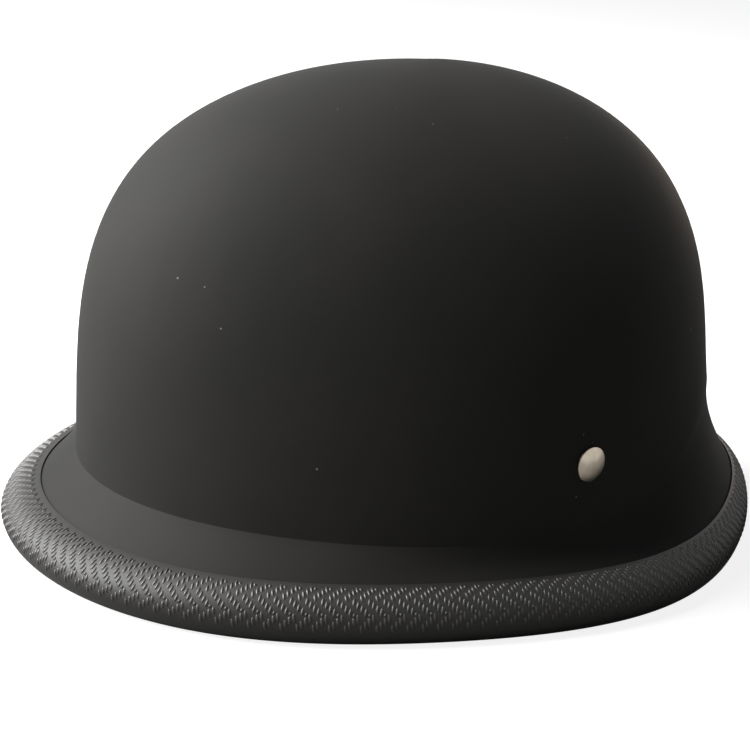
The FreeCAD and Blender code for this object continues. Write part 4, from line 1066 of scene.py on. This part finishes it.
def moulded_plastic(name, low, high, rough_low, rough_high):
    """A moulded plastic with a fine spark-eroded skin; its colour drifts between two tones."""
    material, tree, out = empty_material(name)
    place = add_node(tree, "TexCoord")
    skin = add_node(tree, "TexNoise", links={"Vector": place.outputs["Object"]},
                    Scale=1 / (0.45 * MM), Detail=3.0)
    _, tone = mottled(tree, 12 * MM, 2.0, (low, high), (0.3, 0.7))
    relief = add_node(tree, "Bump", links={"Height": skin.outputs["Fac"]}, Strength=0.25,
                      Distance=0.04 * MM)
    rough = add_node(tree, "MapRange", links={"Value": skin.outputs["Fac"]},
                     To_Min=rough_low, To_Max=rough_high)
    plastic = add_node(tree, "BsdfPrincipled", links={
        "Base Color": tone.outputs["Color"], "Roughness": rough.outputs[0],
        "Normal": relief.outputs[0]})
    tree.links.new(plastic.outputs[0], out.inputs["Surface"])
    return material


black_nylon = moulded_plastic("moulded_black_nylon", "#1a1a1b", "#202021", 0.40, 0.52)
red_acetal = moulded_plastic("moulded_red_acetal", "#8f1417", "#a5191c", 0.30, 0.40)

left_heading = math.pi + STRAP_TURN
buckle_ahead = np.array((math.cos(left_heading), math.sin(left_heading), 0))
buckle_across = np.array((-math.sin(left_heading), math.cos(left_heading), 0))
buckle_bar = (np.array((FOLD_X, RIVET_Y, STRAPS["left"][1])) + buckle_ahead * STRAPS["left"][2]
              + np.array((0, 0, BUCKLE_RISE)))


def on_buckle(places):
    """Places on the buckle: along it, across it and up, from the middle of its bar."""
    return (buckle_bar + places[:, :1] * buckle_ahead + places[:, 1:2] * buckle_across
            + places[:, 2:] * np.array((0, 0, 1)))


housing = softened("buckle_housing", 0.5 * MM, "buckle_housing_moulding")
housing.data.materials.append(black_nylon)
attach(housing, "buckle")
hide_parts("buckle_housing")

lever = softened("buckle_lever", 0.4 * MM, "buckle_lever_moulding")
grips = []
for run in GRIP_RUNS:
    bpy.ops.object.select_all(action="DESELECT")
    bpy.ops.mesh.primitive_uv_sphere_add(segments=16, ring_count=8, radius=1.0)
    grip = bpy.context.object
    shape = vertex_places(grip.data)
    long_ends = np.sign(shape[:, 1]) * GRIP_HALF_LENGTH
    moved_vertices(grip.data, on_buckle(np.column_stack([
        run + shape[:, 0] * GRIP_RADIUS, long_ends + shape[:, 1] * GRIP_RADIUS,
        LEVER_TOP - 0.1 * MM + shape[:, 2] * 0.6 * MM])))
    bpy.ops.object.shade_smooth()
    grips.append(grip)
joined(lever, *grips)
lever.data.materials.clear()
lever.data.materials.append(red_acetal)
for face in lever.data.polygons:
    face.material_index = 0
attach(lever, "lever")
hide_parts("buckle_lever")

# The spring is one wire wound round the pin.
bpy.ops.object.select_all(action="DESELECT")
bpy.ops.mesh.primitive_circle_add(vertices=8, radius=SPRING_WIRE / 2)
spring = bpy.context.object
ring = vertex_places(spring.data)
moved_vertices(spring.data, np.column_stack([ring[:, 0] + SPRING_RADIUS, 0 * ring[:, 0], ring[:, 1]]))
modified(spring, "SCREW", axis="Z", steps=20, render_steps=20, iterations=SPRING_TURNS,
         screw_offset=SPRING_WIRE * 1.03, use_merge_vertices=False)
wound = vertex_places(spring.data)
middle = (wound[:, 2].max() + wound[:, 2].min()) / 2
moved_vertices(spring.data, on_buckle(np.column_stack([
    LEVER_PIN[0] + wound[:, 0], wound[:, 2] - middle, LEVER_PIN[1] + wound[:, 1]])))
bpy.ops.object.mode_set(mode="EDIT")
bpy.ops.mesh.select_all(action="DESELECT")
bpy.ops.mesh.select_non_manifold()
bpy.ops.mesh.edge_face_add()
bpy.ops.object.mode_set(mode="OBJECT")
faces_outwards(spring)
bpy.ops.object.shade_smooth_by_angle(angle=math.radians(60))
spring.name = "lever_spring_coil"
material, tree, out = empty_material("drawn_spring_steel_wire")
place = add_node(tree, "TexCoord")
drawn = add_node(tree, "TexNoise", links={"Vector": place.outputs["Object"]},
                 Scale=1 / (0.5 * MM), Detail=3.0)
rough = add_node(tree, "MapRange", links={"Value": drawn.outputs["Fac"]}, To_Min=0.22, To_Max=0.38)
wire = add_node(tree, "BsdfPrincipled", links={"Roughness": rough.outputs[0]},
                Base_Color=linear("#8c8e92"), Metallic=1.0)
tree.links.new(wire.outputs[0], out.inputs["Surface"])
spring.data.materials.append(material)
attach(spring, "buckle")
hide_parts("lever_spring")


# Tongue. The buckle's other half, one moulding of the same nylon with a row of ratchet teeth, on a
# round bar in the end of the right strap.
tongue = softened("tongue", 0.35 * MM, "tongue_moulding")
tongue.data.materials.append(black_nylon)
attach(tongue, "tongue")
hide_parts("tongue")


# Strap keeper. A loop moulded in black rubber that slides on the right strap and holds its tail.
keeper = softened("strap_keeper", 0.3 * MM, "strap_keeper_loop")
keeper.data.materials.append(
    moulded_plastic("moulded_black_epdm_rubber", "#1b1b1b", "#232322", 0.62, 0.75))
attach(keeper, "keeper")
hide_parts("strap_keeper")


# Chin pad. A padded sleeve of the pads' cloth round the right strap, thick on the side of the chin,
# with a bound edge at both ends.
CHIN_START = 14.0 * MM
CHIN_LENGTH = 50.0 * MM
CHIN_HALF_WIDTH = 14.2 * MM
CHIN_LOW = -2.1 * MM
CHIN_CROWN = 5.6 * MM
CHIN_SLOT = (10.3 * MM, 1.1 * MM)
CHIN_SWELL = 2.0 * MM
CHIN_SEAMS = tuple(CHIN_START + run for run in (6.0 * MM, 25.0 * MM, 44.0 * MM))
CHIN_SEAM_WIDTH = 1.3 * MM

right_fold = np.array((-FOLD_X, RIVET_Y, STRAPS["right"][1]))
strap_ahead = np.array((math.cos(STRAP_TURN), math.sin(STRAP_TURN), 0))
strap_across = np.array((-math.sin(STRAP_TURN), math.cos(STRAP_TURN), 0))


def chin_sleeve(around, lengthwise):
    """A sleeve's surface: out along its outer face for half a turn, and back through its slot."""
    outer = np.clip(np.sin(lengthwise) * 1.6 + 0.5, 0, 1)
    outer = outer * outer * (3 - 2 * outer)
    run = CHIN_START + CHIN_LENGTH * (0.5 - 0.5 * np.cos(lengthwise))
    side, rise = np.cos(around), np.sin(around)
    taper = 1 - 0.22 * np.abs(np.cos(lengthwise)) ** 5
    side = np.sign(side) * np.abs(side) ** 0.45
    rise = np.sign(rise) * np.abs(rise) ** 0.8
    high = np.where(rise > 0, CHIN_CROWN * taper, -CHIN_LOW)
    y = side * (CHIN_SLOT[0] + (CHIN_HALF_WIDTH * (0.5 + taper / 2) - CHIN_SLOT[0]) * outer)
    z = rise * (CHIN_SLOT[1] + (high - CHIN_SLOT[1]) * outer)
    return run, y, z


bpy.ops.object.select_all(action="DESELECT")
bpy.ops.mesh.primitive_torus_add(major_segments=56, minor_segments=64, major_radius=2.0,
                                 minor_radius=1.0)
pad = bpy.context.object
pad.name = "chin_pad_sleeve"
ring = vertex_places(pad.data)
around = np.arctan2(ring[:, 1], ring[:, 0])
lengthwise = np.arctan2(np.hypot(ring[:, 0], ring[:, 1]) - 2.0, ring[:, 2])
run, y, z = chin_sleeve(around, lengthwise)


def on_right_strap(run, across, rise):
    """Places on the right strap: along it, across it and up, from its fold."""
    return (right_fold + np.outer(run, strap_ahead) + np.outer(across, strap_across)
            + np.outer(rise, (0, 0, 1)))


moved_vertices(pad.data, on_right_strap(run, y, z))
outside = (np.sin(lengthwise) > 0.3) & (z > 0.6 * MM)
swollen(pad, ~outside, CHIN_SWELL)
faces_outwards(pad)
subdivided(pad, 1)
places = vertex_places(pad.data)
local = places - right_fold
runs, offsets, heights = local @ strap_ahead, local @ strap_across, local[:, 2]
pinch = np.zeros(len(places))
for line in CHIN_SEAMS:
    pinch = np.maximum(pinch, np.exp(-((runs - line) / CHIN_SEAM_WIDTH) ** 2))
high = np.maximum(heights - 1.4 * MM, 0)
places[:, 2] -= pinch * high * 0.35
moved_vertices(pad.data, places)
outer_side = np.clip(offsets / (6 * MM), -1, 1)
lay_cloth(pad, np.column_stack([runs, offsets - outer_side * places[:, 2]]))
pad.data.materials.append(pad_cloth)
stitches = []
for line in CHIN_SEAMS:
    for offset in np.arange(-10.2 * MM, 10.5 * MM, STITCH_SPACING):
        near = (np.hypot(runs - line, offsets - offset) < STITCH_NEAR) & (heights > 1.0 * MM)
        if near.any():
            level = right_fold + strap_ahead * line + strap_across * offset
            spot = np.array((level[0], level[1], places[near, 2].max()))
            stitches.append((spot, strap_across, (0, 0, 1)))
thread = sewn_thread("chin_pad_stitching", stitches, "chin_pad")
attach(pad, "chin_pad")
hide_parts("chin_pad")

low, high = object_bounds()
